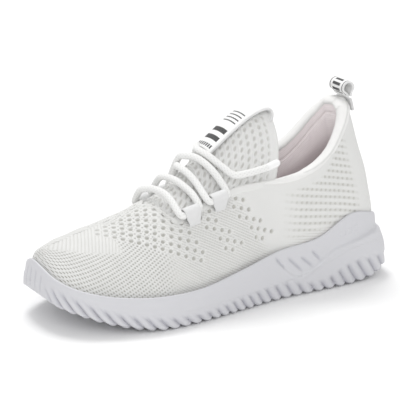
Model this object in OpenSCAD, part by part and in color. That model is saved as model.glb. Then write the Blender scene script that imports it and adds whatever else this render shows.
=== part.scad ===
// Running shoe, left foot: knit upper on a two-layer foam and rubber sole.
// +X points to the toe, +Y to the outer (lateral) side, +Z up. Millimetres.
// The origin is on the ground, in the middle of the shoe's length and width.
// A place on the shoe is (u, v): u runs once round it, 0 at the heel, 12 at the
// toe, 0..12 on the lateral side and 12..24 on the medial side, and v runs up
// the upper from the footbed to the ridge or the collar.

/* [Sole] */
// Length of the sole
sole_l = 268; // [250:1:285]
// Width across the ball of the foot
sole_w = 103; // [96:1:110]
// Distance between two ribs of the outsole
rib_pitch = 8.5; // [6:0.5:10]
// How far a rib stands out of the outsole's side
rib_depth = 1.5; // [0.5:0.1:2.5]
// Thickness of the removable sockliner
sockliner_t = 4; // [3:0.5:6]
// Thickness of the lasting board
board_t = 1.5; // [1:0.1:2.5]

/* [Upper] */
// Height of the collar at the back of the heel
collar_h = 128; // [120:1:134]
// Height of the top of the tongue
tongue_h = 126; // [118:1:132]
// Thickness of the knit
knit_t = 1.6; // [1.2:0.1:2.2]
// Thickness of the lining fabric
lining_t = 0.9; // [0.6:0.1:1.2]
// Greatest thickness of the foam in the collar
foam_t = 6; // [3:0.5:7]
// Radius of the rolled binding round the collar
binding_r = 3.6; // [2.4:0.1:4]
// Thickness of the tongue
tongue_t = 3; // [2:0.2:4]

/* [Lacing] */
// Diameter of the lace
lace_d = 5; // [4:0.5:5.5]
// Length of a lace tab along the throat
tab_l = 11; // [9:1:12]

/* [Pull tab and strap] */
// Width of the webbing of the pull tab
webbing_w = 18; // [14:1:20]
// Width of the webbing strap on the tongue
strap_w = 22; // [16:1:26]
// Thickness of the webbing
webbing_t = 1.6; // [1.2:0.1:2.2]
// Height of the pull tab's loop above the collar
pull_h = 11.5; // [10:0.5:16]

/* [Hidden] */

half_l = sole_l / 2;
kw = sole_w / 103;          // widths against the middle size
flex_x = 60;                // where the forefoot bends
flex_z = 27;                // height of the bending axis, over the sockliner
flex_gap = 0.15;            // half of the gap between the two halves
flex_lean = tan(14);        // the upper's gap opens by this much on each side
side_shift = -2.5;          // moves the shoe's middle onto the origin

// Stations run from the heel (first) to the toe (last), equally spaced in angle.
LATERAL_Y = [2, 22, 31, 34, 36, 38, 45, 52, 54, 47, 35.5, 18, -10] * kw;
MEDIAL_Y = [2, -17, -29, -34, -33, -31, -35, -43, -49, -49, -42, -30, -10] * kw;
BOTTOM_Z = [13, 7, 2.5, 0, 0, 0, 0, 0, 0.5, 5.5, 12, 17, 22];
SPLIT_Z = [31, 30, 29, 27, 18.5, 12.5, 11.5, 11, 12, 16.5, 21, 25, 29];
RIM_Z = [43.5, 46, 50, 52, 39.5, 35.5, 28.5, 23, 23, 25, 29, 34.5, 42];
FOOTBED_Z = [34, 34, 34, 33, 30, 26, 23, 21, 20, 21, 25, 29.5, 33.5];
// The ridge over the instep and the toes, used from station 4 on.
RIDGE_Z = [124, 124, 124, 124, tongue_h, tongue_h + 2, 107.5, 80.5, 67, 59.5, 54, 49.5, 46];
RIDGE_Y = [0, 0, 0, 0, -2, -3, -3, -3, -3.5, -5, -7, -8.5, -9.5];
// The collar's line, used up to station 5: one point per station.
COLLAR_X = [-106, -102, -92.5, -78.5, -60, -36, -5];
COLLAR_Y = [0, 13.5, 22, 27.5, 29.5, 27.5, 25];
COLLAR_Z = [collar_h, collar_h - 4, 111, 96, 87, 85, 84];
// How far up the arch the throat's edge lies, as a share of v.
THROAT_V = [0.4, 0.4, 0.4, 0.4, 0.4, 0.42, 0.52, 0.62, 0.75, 1, 1, 1, 1];
collar_u = 4.67;            // station of the collar's front corners

function both(a, b) = concat(a, [for (i = [11:-1:1]) b[i]]);
OUTLINE_Y = both(LATERAL_Y, MEDIAL_Y);

// Smooth curve through a closed list of values, at place u.
function smooth_at(list, u) = let (
    n = len(list), w = u - n * floor(u / n), i = floor(w), f = w - i,
    a = list[(i + n - 1) % n], b = list[i], c = list[(i + 1) % n], d = list[(i + 2) % n]
) b + 0.5 * f * (c - a + f * (2 * a - 5 * b + 4 * c - d + f * (3 * (b - c) + d - a)));
function station(u) = let (w = u - 24 * floor(u / 24)) w > 12 ? 24 - w : w;
function profile(list, u) = smooth_at(both(list, list), u);
function open_profile(list, u) = let (
    s = min(station(u), len(list) - 1.001), i = floor(s), f = s - i, m = len(list) - 1,
    a = i > 0 ? list[i - 1] : list[1], b = list[i], c = list[i + 1], d = list[min(i + 2, m)]
) b + 0.5 * f * (c - a + f * (2 * a - 5 * b + 4 * c - d + f * (3 * (b - c) + d - a)));
function ramp(a, b, x) = let (t = min(1, max(0, (x - a) / (b - a)))) t * t * (3 - 2 * t);
function side_of(u) = let (w = u - 24 * floor(u / 24)) w > 12 ? -1 : 1;

outline_x = function (u) -half_l * cos(15 * u);
function place_of_x(x) = acos(-x / half_l) / 15;
// x of a ring that is k times the outline's length, still square at the flex line.
function inset_x(x, k) = let (end = x < flex_x ? -half_l : half_l)
    flex_x + (x - flex_x) * (end * k - flex_x) / (end - flex_x);
function outline(u, kx, ky) = [
    inset_x(outline_x(u), kx),
    smooth_at(OUTLINE_Y, u) * ky + side_shift
];

// ---- upper: one smooth surface, arched in front and open at the collar ----
upper_back_k = 0.928;       // length of the upper against the sole's, behind the flex line
upper_front_k = 0.968;      // and in front of it
upper_ky = 0.87;
function upper_k(x) = x < flex_x ? upper_back_k : upper_front_k;
// Station of the upper at a given x.
function upper_place(x) = let (
    end = x < flex_x ? -half_l : half_l, k = (end * upper_k(x) - flex_x) / (end - flex_x)
) place_of_x(max(-half_l, min(half_l, flex_x + (x - flex_x) / k)));
function cubic(a, b, c, d, t) = let (s = 1 - t)
    s * s * s * a + 3 * s * s * t * b + 3 * s * t * t * c + t * t * t * d;
function arch(u, v) = let (
    p = outline(u, upper_k(outline_x(u)), upper_ky), z0 = profile(FOOTBED_Z, u),
    zr = profile(RIDGE_Z, u), yr = profile(RIDGE_Y, u) + side_shift, h = zr - z0,
    tall = 1 - ramp(4.5, 8, station(u)),
    y1 = yr + (p.y - yr) * (1.02 - 0.04 * tall), y2 = yr + (p.y - yr) * 0.5
) cubic([p.x, p.y, z0], [p.x, y1, z0 + h * (0.44 - 0.03 * tall)], [p.x, y2, zr], [p.x, yr, zr], v);
medial_rise = 5;            // the collar stands higher on the medial side
function collar_point(u) = [
    open_profile(COLLAR_X, u),
    open_profile(COLLAR_Y, u) * side_of(u) + side_shift,
    open_profile(COLLAR_Z, u)
        + (side_of(u) < 0 ? medial_rise * pow(sin(180 * min(1, station(u) / 4.4)), 2) : 0)
];
function wall(u, v) = let (
    p = outline(u, upper_k(outline_x(u)), upper_ky), z0 = profile(FOOTBED_Z, u), c = collar_point(u),
    h = c.z - z0, dx = c.x - p.x, dy = c.y - p.y
) cubic([p.x, p.y, z0], [p.x + dx * 0.02, p.y - dy * 0.02, z0 + h * 0.36],
        [p.x + dx * 0.7, p.y + dy * 0.5, z0 + h * 0.7], c, v);
// Quarter: v from the footbed (0) to the collar or the throat's edge (1).
function quarter(u, v) = let (w = ramp(4.1, 5.2, station(u)))
    w <= 0 ? wall(u, v)
    : let (a = arch(u, v * profile(THROAT_V, u))) w >= 1 ? a : wall(u, v) * (1 - w) + a * w;

// Unit normal, pointing out of the shoe, of a surface function f(u, v).
function unit(a) = a / max(norm(a), 1e-6);
function normal_of(f, u, v) = let (
    du = f(u + 0.04, v) - f(u - 0.04, v), dv = f(u, min(1, v + 0.02)) - f(u, max(0, v - 0.02))
) unit(cross(dv, du));
// The surface moved inwards by d.
function inside_of(f, u, v, d) = f(u, v) - d * normal_of(f, u, v);

arch_surface = function (u, v) arch(u, v);
quarter_surface = function (u, v) quarter(u, v);

// Depth of the lining under the knit: thicker at the heel and over the collar's foam.
function foam_at(u, v) = foam_t * ramp(0.42, 0.72, v) * (1 - 0.2 * ramp(0.86, 1, v))
    * (1 - ramp(3.9, 4.9, station(u)));
function lining_depth(u, v) = knit_t + 0.4 + 1.9 * (1 - ramp(3.2, 4.6, station(u)))
    + foam_at(u, v);

// ---- solids from grids and rings of points ----
// Two grids of the same size, outer and inner, joined round the border.
module sheet_solid(outer, inner) {
    n = len(outer);
    m = len(outer[0]);
    function id(layer, i, j) = layer * n * m + i * m + j;
    points = [for (g = [inner, outer]) for (row = g) for (p = row) p];
    skin = [for (i = [0:n - 2]) for (j = [0:m - 2]) for (f = [
        [id(0, i, j), id(0, i, j + 1), id(0, i + 1, j)],
        [id(0, i + 1, j), id(0, i, j + 1), id(0, i + 1, j + 1)],
        [id(1, i, j), id(1, i + 1, j), id(1, i, j + 1)],
        [id(1, i + 1, j), id(1, i + 1, j + 1), id(1, i, j + 1)]
    ]) f];
    ends = [for (j = [0:m - 2]) for (f = [
        [id(0, 0, j), id(1, 0, j), id(0, 0, j + 1)],
        [id(1, 0, j), id(1, 0, j + 1), id(0, 0, j + 1)],
        [id(0, n - 1, j), id(0, n - 1, j + 1), id(1, n - 1, j)],
        [id(1, n - 1, j), id(0, n - 1, j + 1), id(1, n - 1, j + 1)]
    ]) f];
    sides = [for (i = [0:n - 2]) for (f = [
        [id(0, i, 0), id(0, i + 1, 0), id(1, i, 0)],
        [id(1, i, 0), id(0, i + 1, 0), id(1, i + 1, 0)],
        [id(0, i, m - 1), id(1, i, m - 1), id(0, i + 1, m - 1)],
        [id(1, i, m - 1), id(1, i + 1, m - 1), id(0, i + 1, m - 1)]
    ]) f];
    polyhedron(points, concat(skin, ends, sides), convexity = 8);
}

// A stack of open rings, each running from the lateral side of the flex line round
// the heel or the toe to the medial side. The flex line's face is one flat polygon.
module ring_solid(rings) {
    n = len(rings);
    m = len(rings[0]);
    function id(k, j) = k * m + j;
    points = [for (k = [n - 1:-1:0]) for (p = rings[k]) p];
    side = [for (k = [0:n - 2]) for (j = [0:m - 2]) for (f = [
        [id(k, j), id(k + 1, j), id(k, j + 1)],
        [id(k, j + 1), id(k + 1, j), id(k + 1, j + 1)]
    ]) f];
    half = floor(m / 2);
    function strip(k, flip) = [for (j = [0:half - 1]) for (f = [
        [id(k, j), id(k, j + 1), id(k, m - 1 - j)],
        if (m - 2 - j > j + 1) [id(k, j + 1), id(k, m - 2 - j), id(k, m - 1 - j)]
    ]) flip ? [f[2], f[1], f[0]] : f];
    face = concat([for (k = [0:n - 1]) id(k, m - 1)], [for (k = [n - 1:-1:0]) id(k, 0)]);
    polyhedron(points, concat(side, strip(0, false), strip(n - 1, true), [face]), convexity = 8);
}

// A shell with a closed top: rings of an arch, and the same rings further in.
module dome_solid(outer, inner) {
    n = len(outer);
    m = len(outer[0]);
    half = floor(m / 2);
    function id(layer, k, j) = layer * n * m + k * m + j;
    points = [for (g = [inner, outer]) for (row = g) for (p = row) p];
    skin = [for (s = [0, 1]) for (k = [0:n - 2]) for (j = [0:m - 2]) for (f = [
        [id(s, k, j), id(s, k + 1, j), id(s, k, j + 1)],
        [id(s, k, j + 1), id(s, k + 1, j), id(s, k + 1, j + 1)]
    ]) s == 0 ? f : [f[2], f[1], f[0]]];
    cap = [for (s = [0, 1]) for (j = [0:half - 1]) for (f = [
        [id(s, n - 1, m - 1 - j), id(s, n - 1, j + 1), id(s, n - 1, j)],
        if (m - 2 - j > j + 1)
            [id(s, n - 1, m - 1 - j), id(s, n - 1, m - 2 - j), id(s, n - 1, j + 1)]
    ]) s == 0 ? f : [f[2], f[1], f[0]]];
    foot = [for (j = [0:m - 2]) for (f = [
        [id(0, 0, j), id(0, 0, j + 1), id(1, 0, j)],
        [id(0, 0, j + 1), id(1, 0, j + 1), id(1, 0, j)]
    ]) f];
    edge = [for (k = [0:n - 2]) for (f = [
        [id(0, k, 0), id(1, k, 0), id(0, k + 1, 0)],
        [id(1, k, 0), id(1, k + 1, 0), id(0, k + 1, 0)],
        [id(0, k, m - 1), id(0, k + 1, m - 1), id(1, k, m - 1)],
        [id(1, k, m - 1), id(0, k + 1, m - 1), id(1, k + 1, m - 1)]
    ]) f];
    over = [
        [id(0, n - 1, 0), id(1, n - 1, 0), id(0, n - 1, m - 1)],
        [id(1, n - 1, 0), id(1, n - 1, m - 1), id(0, n - 1, m - 1)]
    ];
    polyhedron(points, concat(skin, cap, foot, edge, over), convexity = 8);
}

// A round tube along a list of points.
function tangent(path, i) = unit(path[min(i + 1, len(path) - 1)] - path[max(i - 1, 0)]);
// Each ring follows the one before it, so the tube never twists.
function turned(t, a) = unit(a - (a * t) * t);
module tube(path, r, n = 8) {
    count = len(path);
    start = let (t = tangent(path, 0)) unit(cross(t, abs(t.z) < 0.9 ? [0, 0, 1] : [0, 1, 0]));
    frames = [for (i = 0, a = start; i < count; i = i + 1,
        a = i < count ? turned(tangent(path, i), a) : a) a];
    points = [for (i = [0:count - 1]) for (k = [0:n - 1]) let (
        t = tangent(path, i), a = frames[i], b = cross(t, a)
    ) path[i] + r * (cos(360 * k / n) * a + sin(360 * k / n) * b)];
    side = [for (i = [0:count - 2]) for (k = [0:n - 1]) let (q = (k + 1) % n) for (f = [
        [i * n + k, (i + 1) * n + k, i * n + q],
        [i * n + q, (i + 1) * n + k, (i + 1) * n + q]
    ]) f];
    first = [for (k = [0:n - 1]) k];
    last = [for (k = [n - 1:-1:0]) (count - 1) * n + k];
    polyhedron(points, concat(side, [first, last]), convexity = 8);
}
function spline(list, per) = [for (i = [0:len(list) - 2]) for (s = [0:per - 1]) let (
    f = s / per, m = len(list) - 1,
    a = list[max(i - 1, 0)], b = list[i], c = list[i + 1], d = list[min(i + 2, m)]
) b + 0.5 * f * (c - a + f * (2 * a - 5 * b + 4 * c - d + f * (3 * (b - c) + d - a)))];

// ---- stations along the sole ----
function spread(a, b, n) = [for (i = [0:n]) a + (b - a) * i / n];
fore_u = place_of_x(flex_x + flex_gap);
heel_u = place_of_x(flex_x - flex_gap);
// Distance run along the outline, from the heel, at every tenth of a station.
run_step = 0.1;
RUN = [for (i = 0, s = 0, p = outline(0, 1, 1); i <= 240;
    i = i + 1, s = s + norm(outline(i * run_step, 1, 1) - p), p = outline(i * run_step, 1, 1)) s];
RUN_TO_U = [for (i = [0:240]) [RUN[i], i * run_step]];
function run_at(u) = lookup(u, [for (q = RUN_TO_U) [q[1], q[0]]]);
function u_at(run) = lookup(run, RUN_TO_U);
samples_per_rib = 3;
function rib_places(a, b) = let (
    ra = a < 0 ? -run_at(-a) : run_at(a), rb = run_at(b),
    n = 2 * round((rb - ra) / rib_pitch * samples_per_rib / 2)
) [for (i = [0:n]) let (r = ra + (rb - ra) * i / n) r < 0 ? -u_at(-r) : u_at(r)];
rear_places = spread(-heel_u, heel_u, 64);
front_places = spread(fore_u, 24 - fore_u, 36);

// The sole's upper layer is set back from its lower one by this much, round the heel.
SET_BACK = [5.4, 4.8, 3, 1.2, 0.8, 0.3, 0, 0, 0, 0, 0, 0, 0];
STEP_Z = [34, 34, 33, 30, 21, 24, 19, 16, 16.5, 20, 24, 29, 34];
function sole_ring(places, kx, ky, levels, lift, rib, back = 0) = [for (j = [0:len(places) - 1]) let (
    u = places[j], p = outline(u, kx, ky), q = outline(u, 1, 1),
    wave = [0, 1, 0.35][(j + floor(lift)) % samples_per_rib],
    end = j == 0 || j == len(places) - 1,
    out = end ? 0 : rib * wave * (1 - ramp(10.6, 11.6, station(u))) - back * profile(SET_BACK, u),
    d = unit([p.x - flex_x * 0.6, (p.y - side_shift) * 2.2])
) [p.x + out * d.x * (end ? 0 : 1), p.y + out * d.y, levels(u)]];
function level(list, up = 0) = function (u) max(0, profile(list, u) + up);
function between(a, b, f) = function (u)
    max(0, profile(a, u)) * (1 - f) + profile(b, u) * f;

module outsole(places) {
    ring_solid([
        sole_ring(places, 0.97, 0.93, level(BOTTOM_Z), 0, 0),
        sole_ring(places, 0.995, 0.985, between(BOTTOM_Z, SPLIT_Z, 0.14), 0, rib_depth),
        sole_ring(places, 1, 1, between(BOTTOM_Z, SPLIT_Z, 0.6), 1, rib_depth),
        sole_ring(places, 0.992, 0.985, level(SPLIT_Z), 2, 0)
    ]);
}
module midsole(places) {
    ring_solid([
        sole_ring(places, 0.992, 0.985, level(SPLIT_Z, 0.05), 0, 0),
        sole_ring(places, 1, 1, level(STEP_Z, -1), 0, 0, 0.3),
        sole_ring(places, 0.999, 0.99, level(STEP_Z, 1), 0, 0, 0.85),
        sole_ring(places, 0.994, 0.98, between(STEP_Z, RIM_Z, 0.7), 0, 0, 0.95),
        sole_ring(places, 0.985, 0.955, level(RIM_Z), 0, 0, 1),
        sole_ring(places, 0.966, 0.905, level(RIM_Z, -0.6), 0, 0, 0.75),
        sole_ring(places, 0.953, 0.882, level(FOOTBED_Z, -0.2), 0, 0, 0.6)
    ]);
}
module footbed_plate(places, kx, ky, low, high) {
    ring_solid([
        sole_ring(places, kx, ky, level(FOOTBED_Z, low), 0, 0),
        sole_ring(places, kx, ky, level(FOOTBED_Z, high), 0, 0)
    ]);
}

module outsole_heel() { color([0.80, 0.80, 0.82]) outsole(rib_places(-heel_u, heel_u)); }
module outsole_forefoot() { color([0.80, 0.80, 0.82]) outsole(rib_places(fore_u, 24 - fore_u)); }
module midsole_heel() { color([0.84, 0.84, 0.86]) midsole(rear_places); }
module midsole_forefoot() { color([0.84, 0.84, 0.86]) midsole(front_places); }
module lasting_board_heel() {
    color([0.72, 0.66, 0.55]) footbed_plate(rear_places, 0.895, 0.79, 0.05, board_t);
}
module lasting_board_forefoot() {
    color([0.72, 0.66, 0.55]) footbed_plate(front_places, 0.895, 0.79, 0.05, board_t);
}
module sockliner_heel() {
    color([0.86, 0.82, 0.82])
        footbed_plate(rear_places, 0.885, 0.77, board_t + 0.05, board_t + sockliner_t);
}
module sockliner_forefoot() {
    color([0.86, 0.82, 0.82])
        footbed_plate(front_places, 0.885, 0.77, board_t + 0.05, board_t + sockliner_t);
}

// ---- shells of the upper ----
// A place near the flex line, moved so that the edge leans away from the gap.
function lean_place(u, v, share) = let (
    z = arch(u, v).z, gone = share * flex_lean * max(0, z - flex_z),
    s = upper_place(arch(u, v).x + gone)
) side_of(u) > 0 ? s : 24 - s;
function vamp_rings(rows, depth, low, high) = [for (i = [0:rows]) let (
    v = low + (high - low) * i / rows
) [for (j = [0:len(front_places) - 1]) let (
    u = front_places[j], m = len(front_places) - 1, near = max(0, 1 - min(j, m - j) / 4),
    w = lean_place(u, v, near)
) inside_of(arch_surface, w, v, depth)]];
module knit_vamp() {
    color([0.93, 0.93, 0.92]) dome_solid(vamp_rings(9, 0, 0, 0.96), vamp_rings(9, knit_t, 0, 0.96));
}
module vamp_lining() {
    a = knit_t + 0.4;
    color([0.80, 0.76, 0.76])
        dome_solid(vamp_rings(7, a, 0.02, 0.95), vamp_rings(7, a + lining_t, 0.02, 0.95));
}
// One row of the crease across the shoe, at the share f of the gap's width.
function crease_row(f, depth) = let (rows = 9, low = 0.16) [for (k = [0:2 * rows + 1]) let (
    i = k <= rows ? k : 2 * rows + 1 - k, v = low + (0.985 - low) * i / rows,
    z = arch(fore_u, v).z, w = max(0, flex_lean * (z - flex_z) - 0.3),
    s = upper_place(flex_x + f * w), u = k <= rows ? s : 24 - s
) inside_of(arch_surface, u, v, depth)];
module vamp_crease() {
    color([0.90, 0.90, 0.89]) sheet_solid(
        [for (f = [-1:0.5:1]) crease_row(f, 0.1)], [for (f = [-1:0.5:1]) crease_row(f, knit_t)]);
}

quarter_end = heel_u;
function quarter_grid(places, rows, low, high, depth) = [for (u = places) [for (i = [0:rows]) let (
    v = low + (high - low) * i / rows,
    near = max(0, 1 - (quarter_end - station(u)) / 1.2),
    w = station(u) < 5.3 ? u : lean_quarter(u, v, near)
) inside_of(quarter_surface, w, v, depth(u, v))]];
function lean_quarter(u, v, share) = let (
    q = quarter(u, v), s = upper_place(q.x - share * flex_lean * max(0, q.z - flex_z))
) side_of(u) > 0 ? s : -s;
function flat_depth(d) = function (u, v) d;
module knit_quarter() {
    places = spread(-quarter_end, quarter_end, 52);
    color([0.92, 0.92, 0.91]) sheet_solid(
        quarter_grid(places, 10, 0, 1, flat_depth(0)), quarter_grid(places, 10, 0, 1, flat_depth(knit_t)));
}
module quarter_lining() {
    places = spread(-quarter_end, quarter_end, 44);
    color([0.80, 0.74, 0.74]) sheet_solid(
        quarter_grid(places, 10, 0.02, 0.97, function (u, v) lining_depth(u, v)),
        quarter_grid(places, 10, 0.02, 0.97, function (u, v) lining_depth(u, v) + lining_t));
}
module collar_foam() {
    places = spread(-4.2, 4.2, 36);
    color([0.95, 0.93, 0.80]) sheet_solid(
        quarter_grid(places, 6, 0.52, 0.95, flat_depth(knit_t + 0.2)),
        quarter_grid(places, 6, 0.52, 0.95, function (u, v) lining_depth(u, v) - 0.2));
}
module heel_counter() {
    places = spread(-3, 3, 20);
    color([0.85, 0.85, 0.80]) sheet_solid(
        quarter_grid(places, 5, 0.03, 0.5, flat_depth(knit_t + 0.2)),
        quarter_grid(places, 5, 0.03, 0.5, flat_depth(knit_t + 1.8)));
}
module toe_puff() {
    places = spread(9.6, 14.4, 18);
    function rows(d) = [for (u = places) [for (i = [0:4])
        inside_of(arch_surface, u, 0.05 + 0.4 * i / 4, d)]];
    color([0.88, 0.88, 0.84]) sheet_solid(rows(knit_t + 0.05), rows(knit_t + 0.35));
}
module collar_binding() {
    path = [for (u = spread(-collar_u, collar_u, 60))
        inside_of(quarter_surface, u, 0.985, 0.5 * (knit_t + lining_depth(u, 0.985)))];
    color([0.95, 0.94, 0.93]) tube(path, binding_r, 8);
}
module heel_tape() {
    places = spread(-0.5, 0.5, 4);
    function rows(d) = [for (u = places) [for (i = [0:8])
        inside_of(quarter_surface, u, 0.28 + 0.66 * i / 8, d)]];
    color([0.90, 0.90, 0.90]) sheet_solid(rows(-0.9), rows(-0.05));
}
// Reinforcement strip behind each edge of the throat.
module eyestay(side) {
    places = [for (u = spread(4.9, 7.1, 10)) side * u];
    function rows(d) = [for (u = places) [for (i = [0:3])
        inside_of(quarter_surface, u, 0.8 + 0.19 * i / 3, d)]];
    color([0.90, 0.90, 0.90]) if (side > 0) sheet_solid(rows(-0.8), rows(-0.05));
    else sheet_solid([for (r = [10:-1:0]) rows(-0.8)[r]], [for (r = [10:-1:0]) rows(-0.05)[r]]);
}
module eyestay_lateral() { eyestay(1); }
module eyestay_medial() { eyestay(-1); }

// ---- tongue ----
tongue_depth = knit_t + 0.4;
hinge_x = -5;               // the tongue's top bends about this line,
hinge_z = 107.5;             // just under its surface
flap_z = 99;                // where the free edge leaves the hinge
throat_x = 48;              // front end of the throat
// The tongue's free top starts above this line, which falls towards the heel.
function flap_line(x, up = 0) = flap_z + (x - hinge_x) * 0.3 + up;
// Share of v at which the arch reaches height z.
function v_at_z(s, z, a = 0, b = 1, n = 12) = let (m = (a + b) / 2)
    n == 0 ? m : arch(s, m).z < z ? v_at_z(s, z, m, b, n - 1) : v_at_z(s, z, a, m, n - 1);
// One row across the tongue at station s, from v_low over the ridge to v_low,
// or a half row up to v_high and back where the top is cut away.
function tongue_row(s, v_low, v_high, depth, rows = 6) = concat(
    [for (i = [0:rows]) inside_of(arch_surface, s, v_low + (v_high - v_low) * i / rows, depth)],
    [for (i = [rows:-1:0]) inside_of(arch_surface, 24 - s, v_low + (v_high - v_low) * i / rows, depth)]
);
module tongue_base() {
    places = spread(upper_place(hinge_x), upper_place(throat_x), 12);
    function low(s) = profile(THROAT_V, s) - 0.06;
    color([0.82, 0.82, 0.81]) sheet_solid(
        [for (s = places) tongue_row(s, low(s), 0.985, tongue_depth)],
        [for (s = places) tongue_row(s, low(s), 0.985, tongue_depth + tongue_t)]);
    sides = spread(collar_u, upper_place(hinge_x) - 0.02, 8);
    function cut(s) = v_at_z(s, flap_line(arch(s, 1).x, -1));
    for (side = [1, -1]) {
        rows = function (d) [for (s = side > 0 ? sides : [for (r = [8:-1:0]) sides[r]]) let (l = low(s))
            [for (i = [0:3]) inside_of(arch_surface, side > 0 ? s : 24 - s, l + (cut(s) - l) * i / 3, d)]];
        color([0.82, 0.82, 0.81]) sheet_solid(rows(tongue_depth), rows(tongue_depth + tongue_t));
    }
}
module tongue_top() {
    places = spread(collar_u, upper_place(hinge_x - 1.8), 12);
    function low(s) = v_at_z(s, flap_line(arch(s, 1).x, 0.6));
    color([0.82, 0.82, 0.81]) sheet_solid(
        [for (s = places) tongue_row(s, low(s), 0.985, tongue_depth)],
        [for (s = places) tongue_row(s, low(s), 0.985, tongue_depth + tongue_t)]);
}
// The strap over the tongue's middle, folded over its top edge.
module tongue_strap() {
    over = [for (x = [-9, -14, -19, -25, -31, -37, -42])
        let (s = upper_place(x)) arch(s, 1) + [0, 0, -tongue_depth + webbing_t + 0.3]];
    edge = over[6];
    path = concat(over, [edge + [-4.5, 0, -1.5], edge + [-6, 0, -4.5], edge + [-4.5, 0, -8]]);
    function rows(d) = [for (i = [0:len(path) - 1]) let (
        t = tangent(path, i), n = [-t.z, 0, t.x]
    ) [for (y = [-0.5:0.25:0.5]) path[i] + [0, y * strap_w, -4 * y * y] + n * d]];
    color([0.96, 0.96, 0.96]) sheet_solid(rows(0), rows(webbing_t));
}

// ---- lacing ----
// A tab is a flat loop of webbing that lies on the throat's edge.
tab_rise = 4.4;
function tab_v(side) = side > 0 ? 0.97 : 0.9;
module lace_tab(u, side) {
    c = quarter(side * u, tab_v(side));
    n = normal_of(quarter_surface, side * u, 0.97);
    tilt = atan2(n.y, n.z);
    n_out = 20;
    function oval(a, b) = [for (i = [0:n_out - 1]) [a * cos(18 * i), b * sin(18 * i)]];
    color([0.97, 0.97, 0.97]) translate(c + n * tab_rise) rotate([0, 12, 0]) rotate([-tilt, 0, 0])
        rotate([0, 90, 0]) linear_extrude(height = tab_l, center = true)
            difference() {
                polygon(oval(4.4, 6));
                polygon(oval(3, 4.6));
            }
}
TAB_LATERAL = [for (x = [31, 11]) upper_place(x)];
TAB_MEDIAL = [for (x = [37, 25, 12]) upper_place(x)];
module lace_tab_lateral_1() { lace_tab(TAB_LATERAL[0], 1); }
module lace_tab_lateral_2() { lace_tab(TAB_LATERAL[1], 1); }
module lace_tab_medial_1() { lace_tab(TAB_MEDIAL[0], -1); }
module lace_tab_medial_2() { lace_tab(TAB_MEDIAL[1], -1); }
module lace_tab_medial_3() { lace_tab(TAB_MEDIAL[2], -1); }

// The middle of the loop of a tab, moved along the throat by dx.
function tab_eye(u, side, dx) = let (n = normal_of(quarter_surface, side * u, 0.97))
    quarter(side * u, tab_v(side)) + n * tab_rise + [dx, 0, -dx * 0.21];
// The lace runs from the first medial tab from side to side and ends on the tongue.
LACE = spline([
    tab_eye(TAB_MEDIAL[0], -1, -3), tab_eye(TAB_MEDIAL[0], -1, 7), [47.5, -20, 75.8], [46.5, -14, 79.3],
    [44.5, -4, 81.5], [42, 6, 80.7], [40.5, 14, 77.2],
    tab_eye(TAB_LATERAL[0], 1, 7), tab_eye(TAB_LATERAL[0], 1, 0), tab_eye(TAB_LATERAL[0], 1, -7),
    [26, 17, 80.5], [29.5, 5, 86], [32.5, -6, 87.5], [34, -16, 84.5],
    tab_eye(TAB_MEDIAL[1], -1, 7), tab_eye(TAB_MEDIAL[1], -1, 0), tab_eye(TAB_MEDIAL[1], -1, -7),
    [20, -17, 90], [23.5, -8, 93.5], [23, 4, 92], [21, 13, 87],
    tab_eye(TAB_LATERAL[1], 1, 7), tab_eye(TAB_LATERAL[1], 1, 0), tab_eye(TAB_LATERAL[1], 1, -7),
    [9, 16, 93.5], [14, 4, 100.5], [18, -7, 100.5], [19.5, -16, 96],
    tab_eye(TAB_MEDIAL[2], -1, 7), tab_eye(TAB_MEDIAL[2], -1, 0), tab_eye(TAB_MEDIAL[2], -1, -7),
    [4.5, -16, 102.5], [10.5, -5, 105], [8, 7, 102.5], [2, 16, 96], [-3, 22.5, 91.5],
    [-12, 26.5, 92.5], [-20, 28, 94], [-27, 28.3, 95.2]
], 3);
module lace() { color([0.97, 0.97, 0.97]) tube(LACE, lace_d / 2, 8); }
module lace_tip() {
    color([0.94, 0.94, 0.95])
        tube([[-27.2, 28.3, 95.3], [-30, 28.1, 96], [-35, 27.8, 97.4]], lace_d / 2 + 0.2, 12);
}

// ---- pull tab ----
// A folded loop of webbing on the back of the collar. Its two legs meet at the foot.
loop_r = 4.9;
tab_x = -106;
tab_z = collar_h + 1.8;
tab_tilt = 12;              // the loop leans forward over the collar
module pull_tab() {
    top = pull_h - loop_r;
    lean = atan2(loop_r - webbing_t, top);
    function side(r, foot, low) = concat([[foot, low]],
        [for (a = [-lean:(180 + 2 * lean) / 14:180 + lean]) [r * cos(a), top + r * sin(a)]], [[-foot, low]]);
    color([0.97, 0.97, 0.97]) translate([tab_x, collar_point(0).y + webbing_w / 2, tab_z])
        rotate([0, tab_tilt, 0]) rotate([90, 0, 0]) linear_extrude(height = webbing_w) difference() {
            polygon(side(loop_r, webbing_t, 0));
            polygon(side(loop_r - webbing_t, 0.3, webbing_t * 1.6));
        }
}

outsole_heel();
outsole_forefoot();
midsole_heel();
midsole_forefoot();
lasting_board_heel();
lasting_board_forefoot();
sockliner_heel();
sockliner_forefoot();
knit_vamp();
vamp_crease();
knit_quarter();
toe_puff();
heel_counter();
vamp_lining();
quarter_lining();
collar_foam();
collar_binding();
heel_tape();
eyestay_lateral();
eyestay_medial();
tongue_base();
tongue_top();
tongue_strap();
lace_tab_lateral_1();
lace_tab_lateral_2();
lace_tab_medial_1();
lace_tab_medial_2();
lace_tab_medial_3();
lace();
lace_tip();
pull_tab();
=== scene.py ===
"""Looks of the running shoe: every visible piece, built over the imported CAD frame.

Shapes are worked out in millimetres in the shoe's frame (+X toe, +Y lateral, +Z up) and turned
into metres when a mesh is made. A place on the upper is (u, v): u runs once round the shoe,
0 at the heel, 12 at the toe, 12..24 back along the medial side; v runs up from the sole.
"""
import math

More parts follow.
